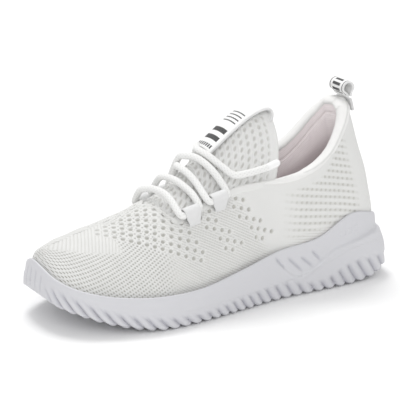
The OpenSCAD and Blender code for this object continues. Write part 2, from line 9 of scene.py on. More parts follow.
import bpy
import numpy as np
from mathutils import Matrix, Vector


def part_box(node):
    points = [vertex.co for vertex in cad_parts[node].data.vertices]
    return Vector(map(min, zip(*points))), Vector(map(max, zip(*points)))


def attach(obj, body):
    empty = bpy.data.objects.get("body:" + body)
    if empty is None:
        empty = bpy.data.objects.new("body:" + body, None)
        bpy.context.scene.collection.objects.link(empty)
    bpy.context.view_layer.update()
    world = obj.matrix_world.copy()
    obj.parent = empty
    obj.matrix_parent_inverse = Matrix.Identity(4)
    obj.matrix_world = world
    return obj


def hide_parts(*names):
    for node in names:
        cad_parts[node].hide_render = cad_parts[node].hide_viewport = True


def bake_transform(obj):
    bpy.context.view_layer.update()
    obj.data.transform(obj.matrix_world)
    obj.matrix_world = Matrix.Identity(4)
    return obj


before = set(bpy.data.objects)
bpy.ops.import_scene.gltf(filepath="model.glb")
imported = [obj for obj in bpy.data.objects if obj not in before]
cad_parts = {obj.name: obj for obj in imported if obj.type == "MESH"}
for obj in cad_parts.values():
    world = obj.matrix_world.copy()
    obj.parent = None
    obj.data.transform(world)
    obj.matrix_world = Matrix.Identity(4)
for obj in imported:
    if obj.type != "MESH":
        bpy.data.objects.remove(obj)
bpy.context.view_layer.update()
scene = bpy.context.scene
MM = 0.001

# ------------------------------------------------------------------ shape of the shoe, as in the CAD
FLEX_X = 60.0                                    # the forefoot bends here
SOLE_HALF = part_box("outsole_forefoot")[1].x / MM  # half of the sole's length
SIDE_SHIFT = -2.5                                 # of the whole outline, to the medial side
UPPER_BACK_K, UPPER_FRONT_K, UPPER_KY = 0.928, 0.968, 0.87
LATERAL_Y = [2, 22, 31, 34, 36, 38, 45, 52, 54, 47, 35.5, 18, -10]
MEDIAL_Y = [2, -17, -29, -34, -33, -31, -35, -43, -49, -49, -42, -30, -10]
BOTTOM_Z = [13, 7, 2.5, 0, 0, 0, 0, 0, 0.5, 5.5, 12, 17, 22]
SPLIT_Z = [31, 30, 29, 27, 18.5, 12.5, 11.5, 11, 12, 16.5, 21, 25, 29]
RIM_Z = [41.5, 44, 48, 50.5, 38, 34.5, 28, 23, 23, 25, 29, 34.5, 42]
FOOTBED_Z = [34, 34, 34, 33, 30, 26, 23, 21, 20, 21, 25, 29.5, 33.5]
RIDGE_Z = [124, 124, 124, 124, 126, 128, 107.5, 80.5, 67, 59.5, 54, 49.5, 46]
RIDGE_Y = [0, 0, 0, 0, -2, -3, -3, -3, -3.5, -5, -7, -8.5, -9.5]
COLLAR_X = [-106, -102, -92.5, -78.5, -60, -36, -5]
COLLAR_Y = [0, 13.5, 22, 27.5, 29.5, 27.5, 25]
COLLAR_Z = [128, 124, 111, 96, 87, 85, 84]
MEDIAL_RISE = 5                                   # the collar stands higher on the medial side
THROAT_V = [0.4, 0.4, 0.4, 0.4, 0.4, 0.42, 0.52, 0.62, 0.75, 1, 1, 1, 1]
KNIT_T, FOAM_T, TONGUE_T = 1.6, 6.0, 3.0
WEBBING_W, WEBBING_T = 18.0, 1.6
TAB_L = 11.0


def curve_step(a, b, c, d, f):
    """Catmull-Rom between b and c."""
    return b + 0.5 * f * (c - a + f * (2 * a - 5 * b + 4 * c - d + f * (3 * (b - c) + d - a)))


def both(a, b):
    """Closed list of 24 values: a from heel to toe, then b back to the heel."""
    return np.array(list(a) + list(b)[11:0:-1], float)


def smooth_at(values, u):
    """Smooth curve through a closed list of values, at place u."""
    n = len(values)
    w = np.mod(u, n)
    i = np.floor(w).astype(int) % n
    f = w - np.floor(w)
    return curve_step(values[(i - 1) % n], values[i], values[(i + 1) % n], values[(i + 2) % n], f)


def station(u):
    """Place along the shoe on either side: 0 at the heel, 12 at the toe."""
    w = np.mod(u, 24)
    return np.where(w > 12, 24 - w, w)


def side_of(u):
    """1 on the lateral side, -1 on the medial side."""
    return np.where(np.mod(u, 24) > 12, -1.0, 1.0)


def profile(values, u):
    """Value at u of a list for stations 0 to 12, the same on both sides."""
    return smooth_at(both(values, values), u)


def open_profile(values, u):
    """The same for a list that ends before the toe and keeps its last value beyond."""
    p = np.array(values, float)
    last = len(p) - 1
    s = np.minimum(station(u), last - 0.001)
    i = np.floor(s).astype(int)
    before = np.where(i > 0, p[np.maximum(i - 1, 0)], p[1])
    return curve_step(before, p[i], p[i + 1], p[np.minimum(i + 2, last)], s - i)


def ramp(a, b, x):
    """Smooth step from 0 at a to 1 at b."""
    t = np.clip((np.asarray(x, float) - a) / (b - a), 0, 1)
    return t * t * (3 - 2 * t)


def place_of_x(x):
    """Station of the sole's outline at a given x."""
    return np.degrees(np.arccos(np.clip(-x / SOLE_HALF, -1, 1))) / 15


def inset_x(x, k):
    """x moved towards the flex line so that the shoe's end comes in to its share k."""
    end = np.where(x < FLEX_X, -SOLE_HALF, SOLE_HALF)
    return FLEX_X + (x - FLEX_X) * (end * k - FLEX_X) / (end - FLEX_X)


def outline(u, kx, ky):
    """The sole's outline drawn in to these shares of its length and width."""
    x = inset_x(-SOLE_HALF * np.cos(np.radians(15 * u)), kx)
    return x, smooth_at(both(LATERAL_Y, MEDIAL_Y), u) * ky + SIDE_SHIFT


def upper_outline(u):
    """The line the upper stands on; it is set in more at the heel than at the toe."""
    k = np.where(np.cos(np.radians(15 * u)) > -FLEX_X / SOLE_HALF, UPPER_BACK_K, UPPER_FRONT_K)
    return outline(u, k, UPPER_KY)


def upper_place(x):
    """Station of the upper at a given x."""
    end, k = (-SOLE_HALF, UPPER_BACK_K) if x < FLEX_X else (SOLE_HALF, UPPER_FRONT_K)
    share = (end * k - FLEX_X) / (end - FLEX_X)
    return float(place_of_x(FLEX_X + (x - FLEX_X) / share))


def cubic(a, b, c, d, t):
    """Bezier curve with these four control values."""
    s = 1 - t
    return s ** 3 * a + 3 * s * s * t * b + 3 * s * t * t * c + t ** 3 * d


def arch(u, v):
    """The closed arch over the foot; v = 1 is its ridge."""
    px, py = upper_outline(u)
    z0, zr = profile(FOOTBED_Z, u), profile(RIDGE_Z, u)
    yr, h = profile(RIDGE_Y, u) + SIDE_SHIFT, zr - z0
    tall = 1 - ramp(4.5, 8, station(u))
    y1, y2 = yr + (py - yr) * (1.02 - 0.04 * tall), yr + (py - yr) * 0.5
    return np.stack([px + 0 * v, cubic(py, y1, y2, yr, v),
                     cubic(z0, z0 + h * (0.44 - 0.03 * tall), zr, zr, v)], -1)


def collar_point(u):
    rise = MEDIAL_RISE * np.sin(math.pi * np.minimum(1, station(u) / 4.4)) ** 2
    return (open_profile(COLLAR_X, u), open_profile(COLLAR_Y, u) * side_of(u) + SIDE_SHIFT,
            open_profile(COLLAR_Z, u) + rise * (side_of(u) < 0))


def wall(u, v):
    """The side and back of the quarter, up to the collar."""
    px, py = upper_outline(u)
    z0 = profile(FOOTBED_Z, u)
    cx, cy, cz = collar_point(u)
    h, dx, dy = cz - z0, cx - px, cy - py
    return np.stack([cubic(px, px + dx * 0.02, px + dx * 0.7, cx, v),
                     cubic(py, py - dy * 0.02, py + dy * 0.5, cy, v),
                     cubic(z0, z0 + h * 0.36, z0 + h * 0.7, cz, v)], -1)


def throat_share(u):
    """How far up the arch the throat's edge lies: its front end is a round U."""
    closing = ramp(7.15, 7.6, station(u))
    return profile(THROAT_V, u) * (1 - closing) + closing


def upper(u, v):
    """The whole knit upper: v = 1 is the collar, the throat's edge or the ridge."""
    w = ramp(4.1, 5.2, station(u))[..., None]
    return wall(u, v) * (1 - w) + arch(u, v * throat_share(u)) * w


def unit(a):
    return a / np.maximum(np.linalg.norm(a, axis=-1, keepdims=True), 1e-9)


def normal_of(surface, u, v):
    """Unit outward normal of a surface of (u, v)."""
    du = surface(u + 0.04, v) - surface(u - 0.04, v)
    dv = surface(u, np.minimum(1, v + 0.02)) - surface(u, np.maximum(0, v - 0.02))
    return unit(np.cross(dv, du))


def foam_at(u, v):
    """Thickness of the collar's foam."""
    return FOAM_T * ramp(0.42, 0.72, v) * (1 - 0.2 * ramp(0.86, 1, v)) * (1 - ramp(3.9, 4.9, station(u)))


def lining_depth(u, v):
    """How far the lining lies inside the knit's surface."""
    return KNIT_T + 0.4 + 1.9 * (1 - ramp(3.2, 4.6, station(u))) + foam_at(u, v)


def spline(points, per):
    """Catmull-Rom curve through given points, with per steps in each span."""
    p = np.array(points, float)
    last = len(p) - 1
    out = []
    for i in range(last):
        for k in range(per):
            out.append(curve_step(p[max(i - 1, 0)], p[i], p[i + 1], p[min(i + 2, last)], k / per))
    return np.array(out + [p[last]])


def run_along(path):
    """Distance of each point of a line, or of a grid's columns, from its first point."""
    steps = np.linalg.norm(np.diff(path, axis=0), axis=-1)
    return np.concatenate([0 * steps[:1], np.cumsum(steps, 0)])

def resample(path, step):
    """The same line with points an even step apart."""
    run = run_along(path)
    at = np.linspace(0, run[-1], max(2, int(round(run[-1] / step)) + 1))
    return np.stack([np.interp(at, run, path[:, k]) for k in range(3)], -1)

def wide(values, count):
    """One value for each row of a grid, repeated along the row."""
    return np.repeat(values[:, None], count, 1)

def tall(values, count):
    """One value for each column of a grid, repeated down the column."""
    return np.repeat(values[None], count, 0)

def raised(surface, u, v, height):
    """Points this far (mm) out of a surface."""
    return surface(u, v) + normal_of(surface, u, v) * np.asarray(height)[..., None]


# ------------------------------------------------------------------ mesh helpers
def add_object(name, data):
    ob = bpy.data.objects.new(name, data)
    scene.collection.objects.link(ob)
    return ob


def mesh_object(name, points, quads, uv=None, **attributes):
    """A smooth mesh from points (mm) and quads. uv and attributes are one value per point."""
    faces = np.asarray(quads, np.int32)
    me = bpy.data.meshes.new(name)
    me.vertices.add(len(points))
    me.vertices.foreach_set("co", (np.asarray(points, float) * MM).astype(np.float32).ravel())
    me.loops.add(faces.size)
    me.loops.foreach_set("vertex_index", faces.ravel())
    me.polygons.add(len(faces))
    me.polygons.foreach_set("loop_start", np.arange(0, faces.size, 4, dtype=np.int32))
    me.update(calc_edges=True)
    me.polygons.foreach_set("use_smooth", np.full(len(faces), True))
    if uv is not None:
        layer = me.uv_layers.new(name="Surface")
        layer.data.foreach_set("uv", np.asarray(uv, np.float32)[faces.ravel()].ravel())
    for key, values in attributes.items():
        layer = me.attributes.new(key, "FLOAT", "POINT")
        layer.data.foreach_set("value", np.asarray(values, np.float32).ravel())
    me.validate()
    return add_object(name, me)


def grid_faces(n, m, closed, flip):
    """Quads of an n x m grid of points, in row order; closed joins the last column to the first."""
    i, j = np.meshgrid(np.arange(n - 1), np.arange(m if closed else m - 1), indexing="ij")
    after = (j + 1) % m
    quads = np.stack([i * m + j, (i + 1) * m + j, (i + 1) * m + after, i * m + after], -1).reshape(-1, 4)
    return quads[:, ::-1] if flip else quads


def grid_object(name, grid, material, closed=False, flip=False, uv=None, **attributes):
    """A mesh from a grid of points. uv is a pair of grids in millimetres."""
    coordinates = None if uv is None else np.stack([uv[0].ravel(), uv[1].ravel()], -1)
    ob = mesh_object(name, grid.reshape(-1, 3), grid_faces(*grid.shape[:2], closed, flip),
                     uv=coordinates, **{key: values.ravel() for key, values in attributes.items()})
    ob.data.materials.append(material)
    return ob


def grid_normals(grid):
    """Unit normals of a grid of points, pointing along rows x columns."""
    return unit(np.cross(np.gradient(grid, axis=0), np.gradient(grid, axis=1)))


def tube_frames(path):
    """Two side directions along a path that never twist."""
    t = unit(np.gradient(path, axis=0))
    start = np.array([0, 0, 1.0]) if abs(t[0][2]) < 0.9 else np.array([0, 1.0, 0])
    a = unit(np.cross(t[0], start))
    sides = []
    for tangent in t:
        a = unit(a - (a @ tangent) * tangent)
        sides.append(a)
    a = np.array(sides)
    return a, np.cross(t, a)


def tube_grid(path, radius, around):
    """Rings of a tube; radius is a function of (run, angle) in mm and radians."""
    run = run_along(path)
    a, b = tube_frames(path)
    angle = np.linspace(0, 2 * math.pi, around, endpoint=False)
    ring = a[:, None] * np.cos(angle)[None, :, None] + b[:, None] * np.sin(angle)[None, :, None]
    return path[:, None] + ring * radius(run[:, None], angle[None])[..., None], run, angle


def shrunk(ring, centre, shares):
    """Copies of a ring of points drawn in to its centre; share 0 closes it."""
    return np.stack([centre + (ring - centre) * share for share in shares])


# ------------------------------------------------------------------ materials
class Surface:
    """A material under construction: a Principled shader fed by procedural nodes."""

    def __init__(self, name, color, roughness, sheen=0.0, specular=0.3):
        self.material = bpy.data.materials.new(name)
        self.material.use_nodes = True
        self.tree = self.material.node_tree
        self.shader = self.tree.nodes["Principled BSDF"]
        self.color = color
        values = {"Base Color": (*color, 1), "Roughness": roughness, "Specular IOR Level": specular,
                  "Sheen Weight": sheen, "Sheen Roughness": 0.5}
        for key, value in values.items():
            self.shader.inputs[key].default_value = value

    def add(self, kind, **settings):
        made = self.tree.nodes.new(kind)
        for key, value in settings.items():
            setattr(made, key, value)
        return made

    def feed(self, socket, value):
        """Set a socket to a number or a colour, or link another node's output to it."""
        if isinstance(value, (int, float)):
            socket.default_value = value
        elif isinstance(value, tuple):
            socket.default_value = (*value, 1)
        else:
            self.tree.links.new(value, socket)

    def calc(self, operation, *values):
        made = self.add("ShaderNodeMath", operation=operation)
        for socket, value in zip(made.inputs, values):
            self.feed(socket, value)
        return made.outputs[0]

    def uv(self):
        """The two millimetre coordinates of the piece's surface."""
        parts = self.add("ShaderNodeSeparateXYZ")
        self.feed(parts.inputs[0], self.add("ShaderNodeUVMap", uv_map="Surface").outputs[0])
        return parts.outputs[0], parts.outputs[1]

    def pit(self):
        """How deep in a hole or groove the piece's own point is; the materials paint shade by it."""
        return self.add("ShaderNodeAttribute", attribute_name="pit").outputs["Fac"]

    def noise(self, scale, detail=3.0):
        made = self.add("ShaderNodeTexNoise")
        self.feed(made.inputs["Scale"], scale)
        self.feed(made.inputs["Detail"], detail)
        self.feed(made.inputs["Vector"], self.add("ShaderNodeTexCoord").outputs["Object"])
        return made.outputs[0]

    def wave(self, coordinate, period):
        """0.5 + 0.5 sin of a coordinate in millimetres."""
        turned = self.calc("MULTIPLY", coordinate, 2 * math.pi / period)
        return self.calc("MULTIPLY_ADD", self.calc("SINE", turned), 0.5, 0.5)

    def mix(self, factor, a, b, blend="MIX"):
        made = self.add("ShaderNodeMix", data_type="RGBA", blend_type=blend)
        self.feed(made.inputs[0], factor)
        self.feed(made.inputs[6], a)
        self.feed(made.inputs[7], b)
        return made.outputs[2]

    def mottle(self, share, scale, detail=3.0):
        """Start the base colour: it varies slowly down to a share of itself."""
        dark = tuple(c * share for c in self.color)
        self.base = self.mix(self.noise(scale, detail), dark, self.color)

    def darken(self, factor, dark):
        """Multiply the base colour by dark where factor is 1."""
        self.base = self.mix(factor, self.base, dark, "MULTIPLY")

    def bump(self, height, distance, strength=1.0):
        """Add a bump of this height (mm) to those that are there."""
        made = self.add("ShaderNodeBump")
        self.feed(made.inputs["Distance"], distance * MM)
        self.feed(made.inputs["Strength"], strength)
        self.feed(made.inputs["Height"], height)
        for before in self.shader.inputs["Normal"].links:
            self.feed(made.inputs["Normal"], before.from_socket)
        self.feed(self.shader.inputs["Normal"], made.outputs[0])

    def finish(self):
        self.feed(self.shader.inputs["Base Color"], self.base)
        return self.material


def knit_material(name, color, dark, wale=1.0, course=0.8, depth=0.16, sheen=0.25):
    """Knitted yarn: V-shaped loops in columns wale wide and rows course high, fuzz, painted shade in the
    hollows between the loops, and painted shade of colour dark in the holes and grooves.
    """
    made = Surface(name, color, 0.92, sheen, 0.12)
    x, y = made.uv()
    column = made.calc("FRACT", made.calc("DIVIDE", x, wale))
    inside = made.calc("ABSOLUTE", made.calc("SUBTRACT", column, 0.5))
    slanted = made.wave(made.calc("MULTIPLY_ADD", inside, wale * 1.1, y), course)
    loops = made.calc("MULTIPLY", slanted, made.calc("MULTIPLY_ADD", made.wave(x, wale / 2), 0.6, 0.2))
    made.mottle(0.965, 45.0, 4.0)
    # painted shade: the colour is darker where the loops' bump is low
    made.darken(made.calc("MULTIPLY", made.calc("SUBTRACT", 1.0, loops), 0.35), (0.86, 0.86, 0.85))
    # painted shade: the colour goes towards dark as deep as the point lies in a hole or groove
    made.darken(made.pit(), dark)
    made.bump(loops, depth)
    made.bump(made.noise(2600.0, 2.0), 0.05, 0.6)
    return made.finish()


def woven_material(name, color, marks=()):
    """Flat tape in a plain weave, with painted shade where its yarns dip under. marks are plain black bars
    (x0, x1, y0, y1) in millimetres on it.
    """
    made = Surface(name, color, 0.8, 0.2, 0.2)
    x, y = made.uv()
    along, across = (made.calc("SUBTRACT", made.wave(place, YARN_PITCH), 0.5) for place in (x, y))
    over = made.calc("MULTIPLY_ADD", made.calc("MULTIPLY", along, across), 2.0, 0.5)
    made.mottle(0.96, 60.0)
    # painted shade: darker where the weave's bump is low
    made.darken(made.calc("SUBTRACT", 1.0, over), (0.93, 0.93, 0.93))
    made.bump(over, 0.09)
    ink = 0.0
    for x0, x1, y0, y1 in marks:
        inside = made.calc("MULTIPLY", made.calc("COMPARE", x, (x0 + x1) / 2, (x1 - x0) / 2),
                           made.calc("COMPARE", y, (y0 + y1) / 2, (y1 - y0) / 2))
        ink = made.calc("MAXIMUM", ink, inside)
    if marks:
        worn = made.calc("MULTIPLY_ADD", made.noise(900.0), -0.12, 1.0)
        made.base = made.mix(made.calc("MULTIPLY", ink, worn), made.base, INK)
    return made.finish()


def foam_material(name, color):
    """Moulded sole foam: satin, faint mottling, a fine grain, and painted shade in its grooves."""
    made = Surface(name, color, 0.5, 0.0, 0.35)
    made.mottle(0.97, 30.0)
    # painted shade: darker as deep as the point lies in a rib groove, slot or bumper groove
    made.darken(made.pit(), (0.72, 0.72, 0.76))
    made.feed(made.shader.inputs["Roughness"], made.calc("MULTIPLY_ADD", made.noise(120.0), 0.16, 0.42))
    made.bump(made.noise(1500.0), 0.03, 0.5)
    return made.finish()


def lining_material(name, color):
    """Brushed mesh fabric: small holes in a soft pile, with painted shade in the holes."""
    made = Surface(name, color, 0.95, 0.35, 0.1)
    cells = made.calc("MULTIPLY", *(made.wave(place, 1.3) for place in made.uv()))
    made.mottle(0.95, 40.0)
    # painted shade: darker in the holes, where the bump is low
    made.darken(cells, (0.88, 0.87, 0.87))
    made.bump(made.calc("SUBTRACT", 1.0, cells), 0.12)
    made.bump(made.noise(1800.0, 2.0), 0.06, 0.5)
    return made.finish()


def cord_material(name, color):
    """Braided yarn: fine fibres over the braid that the mesh already has, and painted shade between its
    strands.
    """
    made = Surface(name, color, 0.75, 0.3, 0.2)
    x, y = made.uv()
    fibres = made.calc("MAXIMUM", *(made.wave(made.calc(lay, x, y), 0.8) for lay in ("ADD", "SUBTRACT")))
    made.mottle(0.96, 80.0)
    # painted shade: darker in the valleys between the braid's strands
    made.darken(made.pit(), (0.8, 0.8, 0.79))
    made.bump(fibres, 0.05)
    return made.finish()


def plain_material(name, color, roughness):
    made = Surface(name, color, roughness)
    made.mottle(0.94, 50.0)
    made.bump(made.noise(700.0), 0.03)
    return made.finish()


YARN_PITCH = 0.55                                 # of the tapes' weave
INK = (0.012, 0.012, 0.013)
SOLE_GREY, PRINTED_WHITE = (0.63, 0.63, 0.655), (0.93, 0.93, 0.925)
STRAP_MARKS = [(x, x + 0.9, -8, 8) for x in (26.5, 29.5, 32.5, 35.5)]
STRAP_MARKS += [(x, x + 3.8, -8, 8) for x in (8.5, 16)]
STRAP_MARKS += [(2, 4.8, y, y + 1.6) for y in (-9, -6.4, -3.8, -1.2, 1.4, 4.0, 6.6)]
PULL_MARKS = [(1.5, 16.5, -8.0, -7.2), (1.5, 16.5, 7.2, 8.0)]
PULL_MARKS += [(x, x + 1.8, -4.6, 4.6) for x in (2.4, 5.8, 9.2, 12.6)]

# the last colour of each knit is the painted shade in its holes and grooves
KNIT = knit_material("knit_yarn", (0.825, 0.825, 0.812), (0.62, 0.61, 0.57))
TONGUE_KNIT = knit_material("tongue_yarn", (0.87, 0.87, 0.86), (0.66, 0.65, 0.62), 1.1, 0.9, 0.18)
BAND = knit_material("throat_yarn", (0.82, 0.82, 0.808), (0.8, 0.8, 0.8), 0.8, 0.6, 0.08)
BINDING = knit_material("collar_yarn", (0.90, 0.895, 0.885), (0.8, 0.8, 0.8), 0.8, 0.6, 0.08, 0.3)
LINING = lining_material("lining_mesh", (0.97, 0.90, 0.905))
SOCK = lining_material("sockliner_fabric", (0.74, 0.69, 0.70))
RUBBER = foam_material("outsole_rubber", SOLE_GREY)
FOAM = foam_material("midsole_foam", SOLE_GREY)
TAPE = woven_material("white_tape", (0.80, 0.80, 0.80))
STRAP = woven_material("strap_tape", PRINTED_WHITE, STRAP_MARKS)
PULL = woven_material("pull_tab_tape_cloth", PRINTED_WHITE, PULL_MARKS)
CORD = cord_material("braided_cord", (0.86, 0.86, 0.85))
AGLET = plain_material("lace_tip_film", (0.92, 0.92, 0.92), 0.22)
BOARD = plain_material("pressed_board", (0.60, 0.54, 0.43), 0.9)
STIFFENER = plain_material("stiffener_sheet", (0.80, 0.79, 0.72), 0.7)


# ------------------------------------------------------------------ camera, light and floor
CAMERA_AIM, CAMERA_DISTANCE = Vector((5.0, -10.2, 66.2)) * MM, 1.5
CAMERA_AZIMUTH, CAMERA_ELEVATION = math.radians(151), math.radians(17)
LIGHTS = [("key", (-0.1, -1.0, 2.3), 1.1, 29), ("fill", (0.9, 2.0, 1.3), 2.0, 15)]  # place, size, watts
FLOOR_HALF = 6.0                                  # metres


def add_camera():
    level = math.cos(CAMERA_ELEVATION)
    back = Vector((math.sin(CAMERA_AZIMUTH) * level, -math.cos(CAMERA_AZIMUTH) * level,
                   math.sin(CAMERA_ELEVATION)))
    cam = add_object("camera", bpy.data.cameras.new("camera"))
    cam.data.sensor_width = 36
    cam.data.lens = 195.1
    cam.data.clip_start, cam.data.clip_end = 0.1, 20
    cam.location = CAMERA_AIM + back * CAMERA_DISTANCE
    cam.rotation_mode = "QUATERNION"
    cam.rotation_quaternion = (-back).to_track_quat("-Z", "Y")
    scene.camera = cam


def add_floor():
    corners = np.array([[-1, -1, 0], [1, -1, 0], [1, 1, 0], [-1, 1, 0]]) * FLOOR_HALF / MM
    floor = mesh_object("floor", corners, [[0, 1, 2, 3]])
    floor.data.materials.append(Surface("pale_floor", (0.93, 0.93, 0.93), 0.9).material)


def add_lights():
    world = bpy.data.worlds.new("studio")
    scene.world = world
    world.use_nodes = True
    world.node_tree.nodes["Background"].inputs[0].default_value = (1, 1, 1, 1)
    world.node_tree.nodes["Background"].inputs[1].default_value = 0.72
    for name, position, size, watts in LIGHTS:
        light = add_object(name, bpy.data.lights.new(name, "AREA"))
        light.data.shape = "DISK"
        light.data.size = size
        light.data.energy = watts
        light.location = position
        light.rotation_mode = "QUATERNION"
        light.rotation_quaternion = (Vector((0, 0, 0.05)) - Vector(position)).to_track_quat("-Z", "Y")
    scene.view_settings.view_transform = "Standard"
    scene.view_settings.look = "None"


add_camera()
add_floor()
add_lights()


# ------------------------------------------------------------------ knit upper
GIRTH_STEPS = 400
WALL_STATION = 4.2                                # behind this the knit runs round the heel
CELL, LINE_PITCH = 6.1, 6.1 / 3                   # pitch of the knit's large holes and of its fine lines
HEEL_COLUMN, HEEL_ROW = 3.9, 4.9                  # pitches of the heel's eyelets
TOE_RIB_PITCH = 2.4
LEAN = 0.40                                       # how far their columns lean
DASH_PITCH = 2.4                                  # distance between the front's lines of dashes
ROW_X = np.linspace(-160, 160, 641)


def girth_table(u):
    """Distance up the upper from the sole's edge at each of these u, for v from 0 to 1."""
    v = np.linspace(0, 1, GIRTH_STEPS)
    grid = upper(wide(u, GIRTH_STEPS), tall(v, len(u)))
    return v, run_along(grid.swapaxes(0, 1)).T

def v_at(v, girth, distance):
    """v at these distances up from the sole's edge, one row for each u."""
    return np.stack([np.interp(d, g, v) for d, g in zip(distance, girth)])


def row_slope(x):
    """How steeply the knit's rows fall towards the heel at x."""
    return 0.45 + 0.17 * ramp(25, 60, x) - 0.15 * ramp(-20, -60, x)


def column_pace(x):
    """How fast the knit's columns follow each other at x: they close up towards the toe."""
    return 0.93 + 0.27 * ramp(40, 75, x)


def total_of(rate):
    """Running total of a rate along ROW_X, 0 at x = 0."""
    total = np.cumsum(rate(ROW_X)) * (ROW_X[1] - ROW_X[0])
    return total - np.interp(0, ROW_X, total)


ROW_FALL, COLUMN_RUN = total_of(row_slope), total_of(column_pace)


def lattice(x, b, lean=LEAN):
    """Column and row coordinates (mm) of the knit at place x and height b."""
    return np.interp(x, ROW_X, COLUMN_RUN) + lean * b, b - np.interp(x, ROW_X, ROW_FALL)


def nearest_hole(x, b, across, up, lean=LEAN):
    """Distance (mm) from the nearest hole of a lattice, and that hole's x and height."""
    column, row = lattice(x, b, lean)
    dc = column - across * np.round(column / across)
    dr = row - up * np.round(row / up)
    slope = row_slope(x)
    dx = (dc - lean * dr) / (column_pace(x) + lean * slope)
    db = dr + slope * dx
    return np.hypot(dx, db), x - dx, b - db


def lines_of(place, pitch):
    """1 on each line of this pitch, -1 half way between two."""
    return np.cos(2 * math.pi * place / pitch)

def front_knit(x, b, column, weave):
    """Depth (mm) of the lines of dashes in front and of the ribs over the toe."""
    ribbed = ramp(80, 86, x) * ramp(33, 38, b)
    dash = np.cos(4 * math.pi * column / CELL + math.pi * np.round(weave / DASH_PITCH))
    dashes = 0.75 * ramp(-0.1, 0.8, lines_of(weave, DASH_PITCH)) * ramp(-0.4, 0.6, dash)
    ribs = 0.26 * ramp(0.35, 1.0, 0.5 + 0.5 * lines_of(column, TOE_RIB_PITCH))
    return dashes * (1 - ribbed) + ribs * ribbed

def heel_knit(x, b, row, top):
    """Depth (mm) of the heel's rows of eyelets and of the fine lines below them."""
    eyelet = nearest_hole(x, b, HEEL_COLUMN, HEEL_ROW, 0.1)[0]
    limit = top - 10 + 8 * ramp(-70, -95, x)
    high = ramp(10, 16, b) * ramp(limit + 2, limit - 2, b)
    grooves = 0.24 * ramp(0.3, 1, 0.5 + 0.5 * lines_of(row, HEEL_ROW))
    low_lines = 0.3 * ramp(0.2, 1.0, lines_of(row, LINE_PITCH)) * ramp(16, 10, b)
    depth = (grooves + 0.34 * ramp(1.5, 0.3, eyelet)) * high + low_lines
    return depth * ramp(-36, -58, x) * ramp(-106, -99, x)

def fine_knit(x, b, top):
    """Depth (mm) of the small pattern: lines on the side, dashes and ribs in front, eyelets behind."""
    column, row = lattice(x, b)
    weave = row - 0.2 * x                         # the fine lines fall more steeply than the rows of holes
    beads = 0.75 + 0.25 * lines_of(column, LINE_PITCH)
    lines = 0.45 * ramp(0.1, 0.95, lines_of(weave, LINE_PITCH)) * beads
    fore = ramp(44, 62, x)
    fine = lines * (1 - fore) + front_knit(x, b, column, weave) * fore
    return fine * (1 - ramp(-26, -36, x - 0.5 * b)) + heel_knit(x, b, row, top)


def hole_bands(x, b, top):
    """1 where a hole centred at place x and height b is in one of the three bands of large holes."""
    w = x - 0.71 * b
    lowest = 18.5 + 0.60 * (x - 29) - 0.0012 * (x - 29) ** 2 - 4.5 * ramp(64, 46, x)
    rear = 9.5 + 0.65 * np.maximum(27 - b, 0) - 0.25 * np.maximum(b - 27, 0)
    front = (w > rear) & (b > lowest) & (x < 95) & (b < top - 3.5)
    middle = (w > -20) & (w < -6) & (b > 18) & (b < 53)
    back = (w > -46.5) & (w < -32) & (b > 20) & (b < 56)
    return (front | middle | back).astype(float)

def knit_height(x, b, top):
    """Height (mm) of the knit's pattern and how deep in a hole a point is (0..1).

    x is the place along the shoe, b the distance up from the sole, top its greatest value there."""
    r, hole_x, hole_b = nearest_hole(x, b, CELL, CELL)
    banded = hole_bands(hole_x, hole_b, top)
    holes = ramp(1.75, 0.85, r) * banded * (1 - 0.45 * ramp(70, 95, hole_x))
    rims = np.exp(-((r - 2.1) / 0.5) ** 2) * banded
    fine = fine_knit(x, b, top) * (1 - ramp(3.0, 1.8, r) * banded)
    # the second value is the painted shade mask of the knit's holes and fine lines
    return 0.12 * rims - fine - 1.25 * holes, np.clip(0.75 * holes + 1.25 * fine, 0, 1)


def knit_run(u):
    """The knit's lengthwise coordinate: x along the sides, and distance round the heel behind them."""
    middle = upper(u, np.full_like(u, 0.5))
    run = run_along(middle)
    first = np.argmax(station(u) >= WALL_STATION)
    return np.where(np.arange(len(u)) < first, middle[first, 0] - (run[first] - run), middle[:, 0])


def knit_hem(edge, up, normal):
    """Rows of the hem folded in along the throat and the collar."""
    rows = [edge + 0.8 * math.sin(a) * up - 0.8 * (1 - math.cos(a)) * normal
            for a in np.radians(np.linspace(20, 180, 6))]
    rows += [edge - back * up - 1.7 * normal for back in (1.5, 4.0, 7.0)]
    return np.stack(rows, 1)


